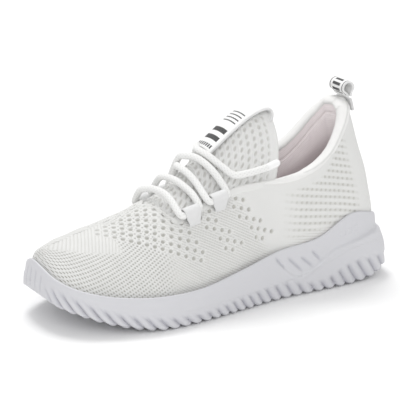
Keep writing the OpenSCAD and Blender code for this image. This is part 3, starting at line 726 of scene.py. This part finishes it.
def knit_side(name, start, stop, columns, rows):
    """One side of the upper, from the heel to the toe."""
    u = np.linspace(start, stop, columns)
    v, girth = girth_table(u)
    along, top = knit_run(u), girth[:, -1:]
    b = np.linspace(0, 1, rows)[None] * top
    uu, vv, x = wide(u, rows), v_at(v, girth, b), wide(along, rows)
    base, normal = upper(uu, vv), normal_of(upper, uu, vv)
    closed = ramp(7.5, 7.7, station(uu))
    flat = np.maximum(ramp(0, 2.5, top - b), closed) * ramp(-1, 1.5, b)
    height, pit = knit_height(x, b, top)
    soft = 0.25 * np.sin(x * 0.11 + b * 0.07) + 0.18 * np.sin(x * 0.23 - b * 0.19 + 1.0)
    grid = base + normal * ((height + soft) * flat)[..., None]
    # the hem; where the two sides meet over the toe it only dips under the other side's edge
    hem = knit_hem(base[:, -1], unit(base[:, -1] - base[:, -3]), normal[:, -1])
    more = hem.shape[1]
    sunk = grid[:, -1:] - normal[:, -1:] * np.linspace(0.01, 1.5, more)[None, :, None]
    ridge = closed[:, -1][:, None, None]
    grid = np.concatenate([grid, hem * (1 - ridge) + sunk * ridge], 1)
    pit = np.concatenate([pit * flat, np.zeros((columns, more))], 1)
    uv = wide(along, rows + more), np.concatenate([b, top + np.linspace(0.3, 9, more)[None]], 1)
    inward = np.mean(np.sum(grid_normals(grid)[:, :rows] * normal, -1)) < 0
    return grid_object(name, grid, KNIT, flip=inward, uv=uv, pit=pit)


def build_knit():
    columns, rows = ((840, 200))
    lateral = knit_side("knit_upper_lateral", 0.0, 12.0, columns, rows)
    medial = knit_side("knit_upper_medial", 24.0, 12.0, columns, rows)
    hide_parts("knit_quarter", "knit_vamp", "vamp_crease")
    for ob in (lateral, medial):
        bends_with_forefoot(ob)


def bends_with_forefoot(ob):
    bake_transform(ob)


# ------------------------------------------------------------------ sole
RIB_TOP = [20, 20, 19.5, 19, 10, 14, 12.5, 9.5, 12, 17, 25, 31, 34]
STEP_IN = [7.6, 6.6, 3.8, 1.5, 1, 0.4, 0, 0, 0, 0, 0, 0, 0]
STEP_X = [-134, -113, -99, -80, -65.5, -52, -46, -41.5, -37.4, -33.9, -30, -24, 134]
STEP_LINE = [36, 34.9, 32.2, 29.2, 21.4, 14.4, 15.2, 17.7, 22.2, 26.5, 31.1, 38, 60]
RIB_REACH, RIB_CUT, TOOTH = 0.5, 1.9, 2.0


def rib_pitch(x):
    """Pitch of the ribs (mm): closer together under the waist."""
    return 9.2 - 1.8 * np.exp(-((x - 2) / 30) ** 2)


def sole_stations(count):
    """Stations an even distance apart along the outline, with the rib phase run up to each side."""
    s = np.linspace(0, 12, 6001)
    run = run_along(np.stack(outline(s, 1, 1), -1))
    phases = []
    for side in (s, 24 - s):
        xs, ys = outline(side, 1, 1)
        along = np.hypot(np.diff(xs), np.diff(ys)) / rib_pitch((xs[1:] + xs[:-1]) / 2)
        total = np.concatenate([[0], np.cumsum(along)])
        phases.append(total[-1] - total)
    at = np.linspace(0, run[-1], count)
    chosen = np.interp(at, run, s)
    return chosen, np.interp(chosen, s, phases[0]), np.interp(chosen, s, phases[1])


def outward(u):
    """Level unit direction out of the sole's outline."""
    x0, y0 = outline(u - 0.03, 1, 1)
    x1, y1 = outline(u + 0.03, 1, 1)
    d = np.stack([-(y1 - y0), x1 - x0, 0 * x0], -1)
    return unit(d)


def rib_crest(turn):
    """1 on a rib, 0 in the groove between two; ribs are broad and grooves narrow."""
    return np.abs(np.sin(math.pi * turn)) ** 0.6


def stroke(x, z, a, b):
    """1 in the middle of a narrow groove drawn from a to b, at places x, z; 0 away from it."""
    ax, az = a
    dx, dz = b[0] - ax, b[1] - az
    t = ((x - ax) * dx + (z - az) * dz) / (dx * dx + dz * dz)
    far = ((x - ax) * dz - (z - az) * dx) / math.hypot(dx, dz)
    return np.exp(-far ** 2) * ramp(-0.1, 0.25, t) * ramp(1.1, 0.75, t)


PAD_X, PAD_Z, PAD_PITCH = -93, 40, 5.6            # low plain pads on the heel's lateral side
BUMPER_PITCH = 6.5                                # of the upright grooves on the toe's bumper
HEEL_DRAW = 5.6                                   # how far the heel's lower layer draws in at its top
GROOVES = [((-30, 31), (-38, 21.5)), ((-40.5, 29.3), (-52.5, 17.5)), ((-51.5, 28), (-61, 19.5)),
           ((-60.6, 31), (-68, 23))]


def rib_relief(u, x, z, low, turn):
    """Height of the ribs (0..1) at a point, and how far (0..1) their band reaches it."""
    s = station(u)
    slant = 0.62 + 0.38 * ramp(-10, 70, x)
    crest = rib_crest(turn + slant * (z - low) / rib_pitch(x))
    # the ribs of the two sides meet in one plain height at the back of the heel
    crest = crest + (0.7 - crest) * ramp(0.16, 0, s)
    top = profile(RIB_TOP, u) + 2.2 * (crest - 0.6)
    return crest, ramp(top, top - 4.5, z) * (1 - ramp(10.9, 11.6, s))

def layer_shape(u, x, z, split, rim):
    """How far (mm, negative inwards) the sole's two layers stand out at a point."""
    s = station(u)
    # a slightly hollow band that leans in towards the rim
    up = np.clip((z - split) / (rim - split), 0, 1)
    out = -1.9 * up ** 2 - 0.55 * np.sin(math.pi * up) ** 2 * (1 - ramp(5.5, 3.5, s) * 0.6)
    # the upper layer is set back behind the step line
    step = np.interp(x, STEP_X, STEP_LINE)
    above = ramp(-0.7, 0.9, z - step)
    out = out - above * open_profile(STEP_IN, u) * (1 - 0.1 * ramp(0, 16, z - step))
    # the lower layer is round at the heel and draws in to meet the upper one
    drawn = np.clip((z - 20) / np.maximum(step - 20, 1), 0, 1) ** 1.6 * (1 - ramp(0.5, 2.8, s))
    out = out - HEEL_DRAW * drawn * (1 - above)
    return out + 0.5 * np.exp(-((z - step + 1.6) / 1.6) ** 2) * ramp(5.2, 4.6, s)

def heel_pads(u, x, z):
    """1 on the three low plain pads of the heel's upper layer."""
    turn = (x - PAD_X) / PAD_PITCH
    pads = ramp(0.42, 0.2, np.abs(turn - np.round(turn))) * (np.abs(turn) < 1.5)
    return pads * ramp(2.4, 1.1, np.abs(z - PAD_Z + 0.18 * (x - PAD_X))) * (side_of(u) > 0)

def bumper_grooves(y, z, s, low, rim):
    """1 in the middle of the upright grooves on the toe's bumper."""
    turn = (y - float(outline(12.0, 1, 1)[1])) / BUMPER_PITCH
    toe = ramp(11.2, 11.6, s) * ramp(low + 2, low + 5, z) * ramp(rim - 3, rim - 6, z)
    return np.exp(-((turn - np.round(turn)) * BUMPER_PITCH / 0.7) ** 2) * toe * (np.abs(turn) < 2.4)

def sole_side(u, q, turn):
    """Point on the sole's side. q is 0 at the bottom edge, 1 at the split between outsole and midsole
    and 2 at the rim; turn is the rib phase at the ground. Also gives how deep in a groove it is."""
    u, q, turn = np.broadcast_arrays(u, q, turn)
    x, y = outline(u, 1, 1)
    low, split, rim = np.maximum(0, profile(BOTTOM_Z, u)), profile(SPLIT_Z, u), profile(RIM_Z, u)
    z = np.where(q < 1, low + (split - low) * q, split + (rim - split) * (q - 1))
    s = station(u)
    crest, ribbed = rib_relief(u, x, z, low, turn)
    slots = np.max([stroke(x, z, a, b) for a, b in GROOVES], axis=0)
    bumper = bumper_grooves(y, z, s, low, rim)
    rounding = 2.6 * (1 - ramp(0, 3.0, z - low)) ** 2
    out = ribbed * (RIB_REACH * crest - RIB_CUT * (1 - crest)) + layer_shape(u, x, z, split, rim) - rounding
    out = out + 0.45 * heel_pads(u, x, z) - 0.9 * slots - 0.45 * bumper
    teeth = TOOTH * (1 - crest) * ramp(4.0, 0, z - low) * (1 - ramp(10.6, 11.4, s))
    point = np.stack([x, y, z + teeth], -1) + outward(u) * out[..., None]
    # the second value is the painted shade mask of the ribs' grooves, the slots and the bumper's grooves
    return point, np.clip(ribbed * (1 - crest) * 1.1 + 0.7 * slots + 0.5 * bumper, 0, 1)

def sole_object(name, grid, material, width, pit, closed=False):
    """A piece of the sole whose rows run across it; width is a row's length in millimetres."""
    rows, columns = grid.shape[:2]
    uv = wide(np.linspace(0, 320, rows), columns), tall(np.linspace(0, width, columns), rows)
    return grid_object(name, grid, material, closed=closed, flip=True, uv=uv, pit=pit)


def build_outsole():
    """The ribbed lower layer; its ribs cross the underside, with a channel down the middle."""
    count = 780
    s, lateral, medial = sole_stations(count)
    q = np.linspace(0, 1, 30)
    left, deep_left = sole_side(s[:, None], q[None], lateral[:, None])
    right, deep_right = sole_side(24 - s[:, None], q[None], medial[:, None])
    across = np.linspace(0, 1, 100)[1:-1]
    bow = 0.5 * np.sin(2 * math.pi * across)
    turn = lateral[:, None] * (1 - across) + medial[:, None] * across + bow
    crest = np.clip(rib_crest(turn) * 1.5 - 0.35, 0, 1)
    base = left[:, :1] * (1 - across)[None, :, None] + right[:, :1] * across[None, :, None]
    inner = ramp(0, 0.07, across) * ramp(1, 0.93, across)
    floor_z = np.maximum(0, profile(BOTTOM_Z, s))[:, None]
    channel = np.exp(-((across - 0.5) / 0.035) ** 2)[None]
    rise = np.clip(TOOTH * (1 - crest) + 1.8 * channel, 0, 2.4)
    base[..., 2] = floor_z + rise * inner + (base[..., 2] - floor_z) * (1 - inner)
    grid = np.concatenate([left[:, ::-1], base, right], 1)
    # painted shade mask of the grooves between the underside's ribs
    pit = np.concatenate([deep_left[:, ::-1], 0.8 * (1 - crest) * inner, deep_right], 1)
    ob = sole_object("outsole", grid, RUBBER, 150, pit)
    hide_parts("outsole_heel", "outsole_forefoot")
    bends_with_forefoot(ob)


def rim_lip(u, edge):
    """Rounded lip from the rim over and down to the footbed, starting at the edge points."""
    out, up = outward(u), np.array([0, 0, 1.0])
    rows = [edge - out * (1 - math.cos(a)) + up * 0.9 * math.sin(a)
            for a in np.radians(np.linspace(15, 180, 8))]
    inner = rows[-1]
    fall = profile(FOOTBED_Z, u) - 0.5 - inner[:, 2]
    rows += [inner - out * 2.4 * share + up * (fall * share)[:, None] for share in (0.3, 0.7, 1.0)]
    return np.stack(rows, 1)


def build_midsole():
    """The upper layer, from the split over the rim to the footbed."""
    count = 780
    s, lateral, medial = sole_stations(count)
    q = 1 + np.linspace(0, 1, 52)
    sides = []
    for u, turn in ((s, lateral), (24 - s, medial)):
        side, deep = sole_side(u[:, None], q[None], turn[:, None])
        lip = rim_lip(u, side[:, -1])
        sides.append((np.concatenate([side, lip], 1), np.concatenate([deep, np.zeros(lip.shape[:2])], 1)))
    left, right = sides
    under = [left[0][:, 0] * (1 - k) + right[0][:, 0] * k for k in (0.25, 0.5, 0.75)]
    bed = [left[0][:, -1] * (1 - k) + right[0][:, -1] * k for k in np.linspace(0.05, 0.95, 10)]
    grid = np.concatenate([left[0][:, ::-1], np.stack(under, 1), right[0], np.stack(bed[::-1], 1)], 1)
    pit = np.concatenate([left[1][:, ::-1], np.zeros((count, 3)), right[1], np.zeros((count, 10))], 1)
    ob = sole_object("midsole", grid, FOAM, 200, pit, closed=True)
    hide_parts("midsole_heel", "midsole_forefoot")
    bends_with_forefoot(ob)


def build_sockliner():
    """Cloth-covered footbed with a slightly raised edge."""
    rows, columns = 160, 60
    s = np.linspace(0.05, 11.95, rows)
    share = np.linspace(0, 1, columns)
    x, left = outline(s, 0.885, 0.77)
    _, right = outline(24 - s, 0.885, 0.77)
    y = left[:, None] * (1 - share) + right[:, None] * share
    edge = 1 - 4 * share * (1 - share)
    end = ramp(0.8, 0, s) + ramp(11.2, 12, s)
    z = profile(FOOTBED_Z, s)[:, None] + 4.3 + 1.6 * edge[None] ** 2 + 0.6 * end[:, None]
    top = np.stack([wide(x, columns), y, z], -1)
    low = top[:, [0, -1]] - np.array([0, 0, 3.6])
    grid = np.concatenate([low[:, :1], top, low[:, 1:]], 1)
    over = np.concatenate([y[:, :1] - 4, y, y[:, -1:] + 4], 1)
    ob = grid_object("sockliner", grid, SOCK, flip=True, uv=(wide(x, columns + 2), over))
    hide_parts("sockliner_heel", "sockliner_forefoot")
    bends_with_forefoot(ob)


# ------------------------------------------------------------------ collar and lining
def build_collar():
    """The rolled, padded edge of the ankle opening, drawn thin where it ends at the throat."""
    count, around = ((620, 40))
    u = np.linspace(-5.45, 5.45, count)
    v, s = np.full_like(u, 0.985), station(u)
    n = normal_of(upper, u, v)
    t = unit(upper(u, v) - upper(u, v - 0.03))
    t = unit(t - np.sum(t * n, -1, keepdims=True) * n)
    depth = lining_depth(u, v)
    centre = upper(u, v) - n * (0.5 * (depth + 0.2))[:, None] - t * 0.4
    ending = ramp(4.45, 5.45, s)
    half = np.maximum(2.1, 0.5 * depth + 0.55) * (1 - 0.6 * ending)
    high = (3.2 - 0.5 * ramp(3.6, 4.7, s) - 0.4 * ramp(1.2, 0, s)) * (1 - 0.72 * ending)
    run = run_along(centre)
    angle = np.linspace(0, 2 * math.pi, around, endpoint=False)
    folds = np.sin(run[:, None] * 0.9 + 2 * np.sin(run[:, None] * 0.13))
    puckered = (1 + 0.012 * folds * np.cos(angle)[None]) * (1 + 0.05 * np.sin(run[:, None] * 0.06 + 1))
    ring = (n[:, None] * (half[:, None] * np.cos(angle))[..., None]
            + t[:, None] * (high[:, None] * np.sin(angle))[..., None])
    grid = centre[:, None] + ring * puckered[..., None]
    grid = np.concatenate([shrunk(grid[0], centre[0], (0, 0.75)), grid,
                           shrunk(grid[-1], centre[-1], (0.75, 0))])
    run = np.concatenate([[-2, -1], run, run[-1] + np.array([1, 2])])
    ob = grid_object("collar_roll", grid, BINDING, closed=True, flip=True,
                     uv=(wide(run, around), tall(angle * 4, len(run))), pit=np.zeros(grid.shape[:2]))
    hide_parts("collar_binding", "collar_foam")
    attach(ob, "rearfoot")


SEAM_HIGH, SEAM_LOW = 9.0, 38.0                   # seams of the lining's padded panel, below the collar


def build_lining():
    """The quarter's lining, with a padded panel between two seams under the collar."""
    count, rows = ((420, 160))
    u = np.linspace(-6.9, 6.9, count)
    v, girth = girth_table(u)
    share = np.linspace(0.02, 0.985, rows)[None]
    uu, vv = wide(u, rows), v_at(v, girth, girth[:, -1:] * share)
    down = girth[:, -1:] * (1 - share)
    padded = 1 - ramp(3.9, 4.9, station(uu))
    panel = np.clip((down - SEAM_HIGH) / (SEAM_LOW - SEAM_HIGH), 0, 1)
    puff = 1.6 * np.sin(math.pi * panel) ** 0.8
    seams = sum(deep * np.exp(-((down - place) / width) ** 2) for deep, place, width in (
        (1, SEAM_HIGH, 0.8), (0.8, SEAM_LOW, 0.9), (0.25, SEAM_HIGH + 2.2, 0.6)))
    ripple = 0.25 * np.sin(uu * 9 + 2 * np.sin(uu * 3)) * np.exp(-((down - SEAM_HIGH - 3) / 4) ** 2)
    depth = lining_depth(uu, vv) + (puff + ripple - 0.9 * seams) * padded
    grid = raised(upper, uu, vv, -depth)
    ob = grid_object("lining", grid, LINING, flip=True, uv=(wide(u * 25, rows), down))
    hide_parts("quarter_lining")
    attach(ob, "rearfoot")


def build_vamp_lining():
    count, rows = 120, 40
    uu = wide(np.linspace(6.6, 17.4, count), rows)
    vv = tall(np.linspace(0.02, 0.97, rows), count)
    grid = raised(upper, uu, vv, -(KNIT_T + 0.4))
    ob = grid_object("vamp_lining_skin", grid, LINING, flip=True, uv=(uu * 25, vv * 60))
    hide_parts("vamp_lining")
    bends_with_forefoot(ob)


def build_heel_tape():
    """Tape over the back seam of the knit."""
    half = 0.42
    uu, vv = np.meshgrid(np.linspace(-half, half, 40), np.linspace(0.25, 0.965, 120), indexing="ij")
    grid = raised(upper, uu, vv, 0.15 + 0.5 * ramp(0, 0.05, half - np.abs(uu)))
    ob = grid_object("heel_strip", grid, TAPE, uv=(uu * 25, vv * 100))
    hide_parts("heel_tape")
    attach(ob, "rearfoot")


def build_eyestay(side, name, cad_node):
    """Smooth band along the throat's edge."""
    first, last, width = 4.75, 7.35, 5.5
    u = side * np.linspace(first, last, 140)
    down = np.linspace(0, width, 20)
    v, girth = girth_table(u)
    uu, vv = wide(u, len(down)), v_at(v, girth, girth[:, -1:] - down)
    ends = ramp(0, 0.2, last - np.abs(uu)) * ramp(first, 5.3, np.abs(uu))
    grid = raised(upper, uu, vv, 0.85 * ramp(0, 2.2, width - down) * ends - 0.4)
    ob = grid_object(name, grid, BAND, flip=side > 0, uv=(wide(u * 22, len(down)), tall(down, len(u))),
                     pit=np.zeros(grid.shape[:2]))
    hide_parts(cad_node)
    bends_with_forefoot(ob)


# ------------------------------------------------------------------ tongue and its strap
TONGUE_DEPTH = KNIT_T + 0.4
TONGUE_FRONT_X, TONGUE_POINT_X = 50.0, 55.0
TONGUE_RIM = 2.3                                  # radius of its rolled rear edge
DIMPLE_LONG, DIMPLE_WIDE = 5.6, 5.3               # pitch of its knit's dimples


def ridge_place(s, w):
    """Point (u, v) across the tongue: w is -1 at the lateral edge, 0 on the ridge, 1 medial."""
    low = profile(THROAT_V, s) - 0.07
    v = low + (0.998 - low) * (1 - np.abs(w))
    return np.where(w < 0, s, 24 - s), v


def tongue_point(s, w, depth):
    """Tongue's surface; both halves are blended across the ridge so that it is round there."""
    u, v = ridge_place(s, w)
    p = arch(u, v)
    n = normal_of(arch, u, np.minimum(v, 0.97))
    halves = []
    for side in (-1, 1):
        u, v = ridge_place(s, side * np.maximum(np.abs(w), 0.03))
        halves.append(normal_of(arch, u, np.minimum(v, 0.97)))
    across = ramp(-0.12, 0.12, w)[..., None]
    near = np.exp(-(w / 0.15) ** 2)[..., None]
    mixed = unit(halves[0] * (1 - across) + halves[1] * across)
    n = unit(n * (1 - near) + mixed * near)
    return p - n * depth[..., None], n


def tongue_hem(w):
    """Station of the rear edge: it swells to the rear half way down and draws in again below."""
    near_ridge = np.clip(1 - np.abs(w) / 0.45, 0, 1)
    low = np.clip((np.abs(w) - 0.45) / 0.55, 0, 1)
    return 4.58 + 0.10 * near_ridge ** 2 + 0.34 * low ** 2


def tongue_relief(along, over):
    """Height (mm) of the tongue's scale-like knit, and how deep in a dimple a point is."""
    a, b = along / DIMPLE_LONG, over / DIMPLE_WIDE + 0.12 * along / DIMPLE_LONG
    da, db = (a - np.round(a)) * DIMPLE_LONG, (b - np.round(b)) * DIMPLE_WIDE
    plain = ramp(4.0, 6.5, along)
    hole = ramp(1.9, 0.7, np.hypot(da, db * 0.85)) * plain
    scale = np.clip(da / DIMPLE_LONG + 0.5, 0, 1) * plain
    # the second value is the painted shade mask of the dimples
    return 0.5 * scale - 0.95 * hole, 0.6 * hole

def build_tongue():
    rows, columns = ((420, 300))
    w = np.linspace(-1, 1, columns)
    # the front edge reaches under the vamp at the ridge, where the throat ends in a point
    front, point = upper_place(TONGUE_FRONT_X), upper_place(TONGUE_POINT_X)
    front = front + (point - front) * np.exp(-(w / 0.35) ** 2)
    hem = tongue_hem(w)

    def rows_at(shares, depth):
        """Rows across the tongue, from its rear edge (share 0) to its front edge (share 1)."""
        s = hem + (front - hem) * shares[:, None]
        return tongue_point(s, tall(w, len(shares)), np.full_like(s, depth))

    base, n = rows_at(np.linspace(1, 0, rows), 0.0)
    inner, _ = rows_at(np.linspace(0.04, 1, 40), TONGUE_DEPTH + TONGUE_T + 0.4)
    # millimetre coordinates: along the tongue from its rear edge, and across from the ridge
    along = run_along(base[::-1])[::-1]
    over = run_along(base.swapaxes(0, 1)).T
    over = over - over[:, columns // 2][:, None]
    relief, pit = tongue_relief(along, over)
    swell = TONGUE_RIM * 1.1 * np.exp(-(np.maximum(along - 1.5, 0) / 2.6) ** 2)
    top = base - n * (TONGUE_DEPTH - relief - 0.35 * swell)[..., None]
    # the rear edge rolled round, then the tongue's inner face
    back = unit(base[-1] - base[-4])
    centre = base[-1] - n[-1] * (TONGUE_DEPTH - 0.8 + TONGUE_RIM)
    roll = [centre + TONGUE_RIM * (n[-1] * math.cos(k) + back * math.sin(k))
            for k in np.linspace(0.15, math.pi, 12)]
    grid = np.concatenate([top, np.stack(roll), inner])
    extra = grid.shape[0] - rows
    uv = (np.concatenate([over, tall(over[-1], extra)]),
          np.concatenate([along, -wide(np.linspace(0.5, 40, extra), columns)]))
    pit = np.concatenate([pit, np.zeros((extra, columns))])
    ob = grid_object("tongue", grid, TONGUE_KNIT, flip=True, uv=uv, pit=pit)
    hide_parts("tongue_base", "tongue_top")
    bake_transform(ob)


def facing(path, across, out):
    """Normals of a tape along a path, turned so that its middle faces out."""
    face = unit(np.cross(unit(np.gradient(path, axis=0)), across))
    return face if face[len(face) // 2] @ out > 0 else -face

def tape_object(name, path, normals, width_axis, width, thick, material):
    """A flat tape: path is its middle line, normals point out of its face."""
    lanes = np.linspace(-0.5, 0.5, 25)
    crown = 0.12 * (1 - (2 * lanes) ** 2)
    sides, coordinates = [], []
    for face, lane, shift in ((1, lanes, 0), (-1, lanes[::-1], 60)):
        up = face * 0.5 * thick + crown
        sides.append(path[:, None] + width_axis[:, None] * (lane * width)[None, :, None]
                     + normals[:, None] * up[None, :, None])
        coordinates.append(lane * width + shift)
    grid = np.concatenate(sides, 1)
    uv = wide(run_along(path), grid.shape[1]), tall(np.concatenate(coordinates), len(path))
    ends = [shrunk(grid[k], grid[k].mean(0), [0]) for k in (0, -1)]
    return grid_object(name, np.concatenate([ends[0], grid, ends[1]]), material, closed=True, flip=True,
                       uv=[np.pad(part, ((1, 1), (0, 0)), "edge") for part in uv])


STRAP_W, STRAP_BEND = 22.0, 6.5
STRAP_X = [6, 1, -4, -9, -14, -19, -25, -31, -35, -38]
STRAP_LIFT = [0, 0, 0, 0, 0, 0.1, 0.4, 1.0, 1.6, 1.9]  # its rear end stands off the tongue
STRAP_FOLD = [[-3.4, 0, -0.6], [-5.4, 0, -3.2], [-5.0, 0, -7.0], [-2.8, 0, -9.4]]  # on from that end


def build_strap():
    """Tape down the middle of the tongue, folded over the tongue's top edge."""
    points = []
    for x, lift in zip(STRAP_X, STRAP_LIFT):
        at, depth = np.array([upper_place(x)]), np.array([TONGUE_DEPTH - WEBBING_T - 0.2])
        points.append(tongue_point(at, np.array([0.0]), depth)[0][0] + np.array([0, 0, lift]))
    points += [points[-1] + np.array(step) for step in STRAP_FOLD]
    path = resample(spline(points, 8), 0.5)
    across = tall(np.array([0, 1.0, 0]), len(path))
    normals = facing(path, across, np.array([0, 0, 1.0]))
    ob = tape_object("tongue_strap_tape", path, normals, across, STRAP_W, WEBBING_T, STRAP)
    # its edges bend down round the tongue
    co = np.empty(len(ob.data.vertices) * 3, np.float32)
    ob.data.vertices.foreach_get("co", co)
    co = co.reshape(-1, 3)
    middle = path[:, 1].mean() * MM
    co[:, 2] -= STRAP_BEND * ((co[:, 1] - middle) / (STRAP_W * MM)) ** 2 * MM
    ob.data.vertices.foreach_set("co", co.ravel())
    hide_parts("tongue_strap")
    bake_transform(ob)


# ------------------------------------------------------------------ lacing
TAB_RISE, TAB_SLOPE = 4.4, 0.21                   # height of a tab's middle, fall along its length
TAB_LOOP_R = 3.25
TAB_FOOT = [(-8.0, -1.1), (-7.0, 0.7), (-5.7, 2.4), (-4.2, 4.0)]  # (up, out): the end sewn down outside
TAB_ROOT = [(1.6, 0.6), (0.6, -1.2), (-1.5, -2.0)]                # the end that comes out of the knit
LACE_STRANDS, LACE_LAY = 6, 9.0
TAB_LATERAL = [upper_place(x) for x in (31, 11)]
TAB_MEDIAL = [upper_place(x) for x in (37, 25, 12)]


def tab_anchor(u, side):
    """Middle of a tab on the knit, and the knit's normal there."""
    place, v = np.array([side * u]), np.array([0.97 if side > 0 else 0.9])
    return upper(place, v)[0], normal_of(upper, place, np.array([0.97]))[0]

def tab_frame(u, side):
    """Middle of a tab on the knit, and its outward, up-the-throat and along-the-shoe directions."""
    c, n = tab_anchor(u, side)
    along = unit(np.array([1, 0, -TAB_SLOPE]))
    n = unit(n - (n @ along) * along)
    up = np.cross(along, n)
    return c, n, up if up[2] > 0 else -up, along

def tab_eye(u, side, dx):
    """Middle of the lace at dx in front of a tab's middle."""
    c, n = tab_anchor(u, side)
    return list(c + n * TAB_RISE + np.array([dx, 0, -TAB_SLOPE * dx]))

def through_tab(u, side):
    return [tab_eye(u, side, dx) for dx in (7, 0, -7)]

def lace_route():
    """The lace's middle line, from inside the first medial tab to its free end."""
    l1, l2 = TAB_LATERAL
    m1, m2, m3 = TAB_MEDIAL
    return [
        tab_eye(m1, -1, -3), tab_eye(m1, -1, 7), [47.5, -20, 75.8], [46.5, -14, 79.3],
        [44.5, -4, 81.5], [42, 6, 80.7], [40.5, 14, 77.2],
        *through_tab(l1, 1), [26, 17, 80.5], [29.5, 5, 86], [32.5, -6, 87.5], [34, -16, 84.5],
        *through_tab(m2, -1), [20, -17, 90], [23.5, -8, 93.5], [23, 4, 92], [21, 13, 87],
        *through_tab(l2, 1), [9, 16, 93.5], [14, 4, 100.5], [18, -7, 100.5], [19.5, -16, 96],
        *through_tab(m3, -1), [4.5, -16, 102.5], [10.5, -5, 105], [8, 7, 102.5], [2, 16, 96],
        [-3, 22.5, 91.5], [-12, 26.5, 92.5], [-20, 28, 94], [-27, 28.3, 95.2]]

def capped(grid, path):
    """A tube's rings with both of its ends closed by a slightly rounded cap."""
    bulge = np.array([0.5, 0.4])[:, None, None]
    start = shrunk(grid[0], path[0], (0, 0.7)) + unit(path[0] - path[1]) * bulge
    stop = shrunk(grid[-1], path[-1], (0.7, 0)) + unit(path[-1] - path[-2]) * bulge[::-1]
    return np.concatenate([start, grid, stop])

def braid_radius(run, angle):
    """Radius of the lace, whose strands cross in two directions."""
    turn = math.pi * run / LACE_LAY
    strands = [np.abs(np.sin(0.5 * LACE_STRANDS * (angle + way * turn))) for way in (1, -1)]
    return 2.22 + 0.26 * np.maximum(*strands)

def sleeve_radius(run, _):
    """Radius of the lace's tip, rounded off at its end."""
    return 2.62 - 0.9 * np.exp((run - run.max()) / 0.7)

def build_lace():
    path = resample(spline(lace_route(), 10), 0.45)
    around = 36
    grid, run, angle = tube_grid(path, braid_radius, around)
    # painted shade mask: deeper where the braid's surface lies low between strands
    pit = np.clip((2.42 - np.linalg.norm(grid - path[:, None], axis=-1)) / 0.2, 0, 1)
    grid, pit, run = capped(grid, path), np.pad(pit, ((2, 2), (0, 0))), np.pad(run, 2, "edge")
    ob = grid_object("lace_cord", grid, CORD, closed=True,
                     uv=(wide(run, around), tall(angle * 2.5, len(run))), pit=pit)
    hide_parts("lace")
    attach(ob, "rearfoot")

def build_lace_tip():
    path = resample(np.array([[-26.2, 28.3, 95.0], [-30, 28.1, 96], [-35.4, 27.8, 97.5]]), 0.3)
    grid, _, _ = tube_grid(path, sleeve_radius, 32)
    ob = grid_object("lace_tip_sleeve", capped(grid, path), AGLET, closed=True)
    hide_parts("lace_tip")
    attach(ob, "rearfoot")


def build_tab(name, u, side, cad_node):
    """Tape that comes out of the knit, wraps the lace and is sewn down on the outside."""
    c, n, up, along = tab_frame(u, side)
    loop = [(TAB_LOOP_R * math.cos(a), TAB_RISE + TAB_LOOP_R * math.sin(a))
            for a in np.radians(np.linspace(138, -35, 12))]
    line = resample(spline([[0, a, b] for a, b in TAB_FOOT + loop + TAB_ROOT], 6), 0.35)
    path = c + up * line[:, 1:2] + n * line[:, 2:3]
    across = tall(along, len(path))
    narrowing = 1.06 - 0.3 * ramp(-2.5, -7.5, line[:, 1])
    ob = tape_object(name, path, facing(path, across, n), across * narrowing[:, None], TAB_L, 1.15, TAPE)
    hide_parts(cad_node)
    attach(ob, "rearfoot")


# ------------------------------------------------------------------ pull tab
LOOP_R, PULL_H, TAB_X, TAB_Z = 4.9, 11.5, -106.0, 129.8
TAB_TILT = math.radians(12)                       # the loop leans forward over the collar
PULL_T = 1.4


def heel_tape_object(name, line, thick, material):
    """Tape across the heel that follows a line in the shoe's middle plane."""
    path = resample(line, 0.4)
    across = tall(np.array([0, 1.0, 0]), len(path))
    normals = facing(path, across, np.array([-0.3, 0, 1.0]))
    return tape_object(name, path, normals, across, WEBBING_W - 0.4, thick, material)


def build_pull_tab():
    """The loop of webbing, and its foot sewn down on the outside, behind the collar's roll."""
    top, r = PULL_H - LOOP_R, LOOP_R - PULL_T / 2
    y = float(collar_point(np.array(0.0))[1])
    loop = [(r * math.cos(a), top + r * math.sin(a)) for a in np.radians(np.linspace(-18, 198, 17))]
    loop = [(1.0, 0.2), (1.9, 2.6)] + loop + [(-1.9, 2.6), (-1.0, 0.2)]
    c, s = math.cos(TAB_TILT), math.sin(TAB_TILT)
    line = spline([[a * c + b * s, 0, b * c - a * s] for a, b in loop], 6) + np.array([TAB_X, y, TAB_Z])
    ob = heel_tape_object("pull_tab_tape", line, PULL_T, PULL)
    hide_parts("pull_tab")
    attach(ob, "heel_loop")
    v = np.array([0.96, 0.93, 0.90])
    down = np.concatenate([[[TAB_X - 0.7, y, TAB_Z - 1.7]], raised(upper, np.zeros(3), v, 1.1)])
    down[:, 1] = y
    patch = heel_tape_object("pull_tab_foot", spline(down, 6), 1.6, TAPE)
    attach(patch, "rearfoot")


# ------------------------------------------------------------------ CAD parts that stay inside the shoe
def finish_hidden_parts():
    for name, material in (("lasting_board_heel", BOARD), ("lasting_board_forefoot", BOARD),
                           ("toe_puff", STIFFENER), ("heel_counter", STIFFENER)):
        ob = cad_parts[name]
        ob.data.materials.clear()
        ob.data.materials.append(material)


build_knit()
build_outsole()
build_midsole()
build_sockliner()
build_collar()
build_lining()
build_vamp_lining()
build_heel_tape()
build_eyestay(1, "throat_band_lateral", "eyestay_lateral")
build_eyestay(-1, "throat_band_medial", "eyestay_medial")
build_tongue()
build_strap()
build_lace()
build_lace_tip()
for word, side, places in (("lateral", 1, TAB_LATERAL), ("medial", -1, TAB_MEDIAL)):
    for number, place in enumerate(places, 1):
        build_tab(f"lace_loop_{word}_{number}", place, side, f"lace_tab_{word}_{number}")
build_pull_tab()
finish_hidden_parts()
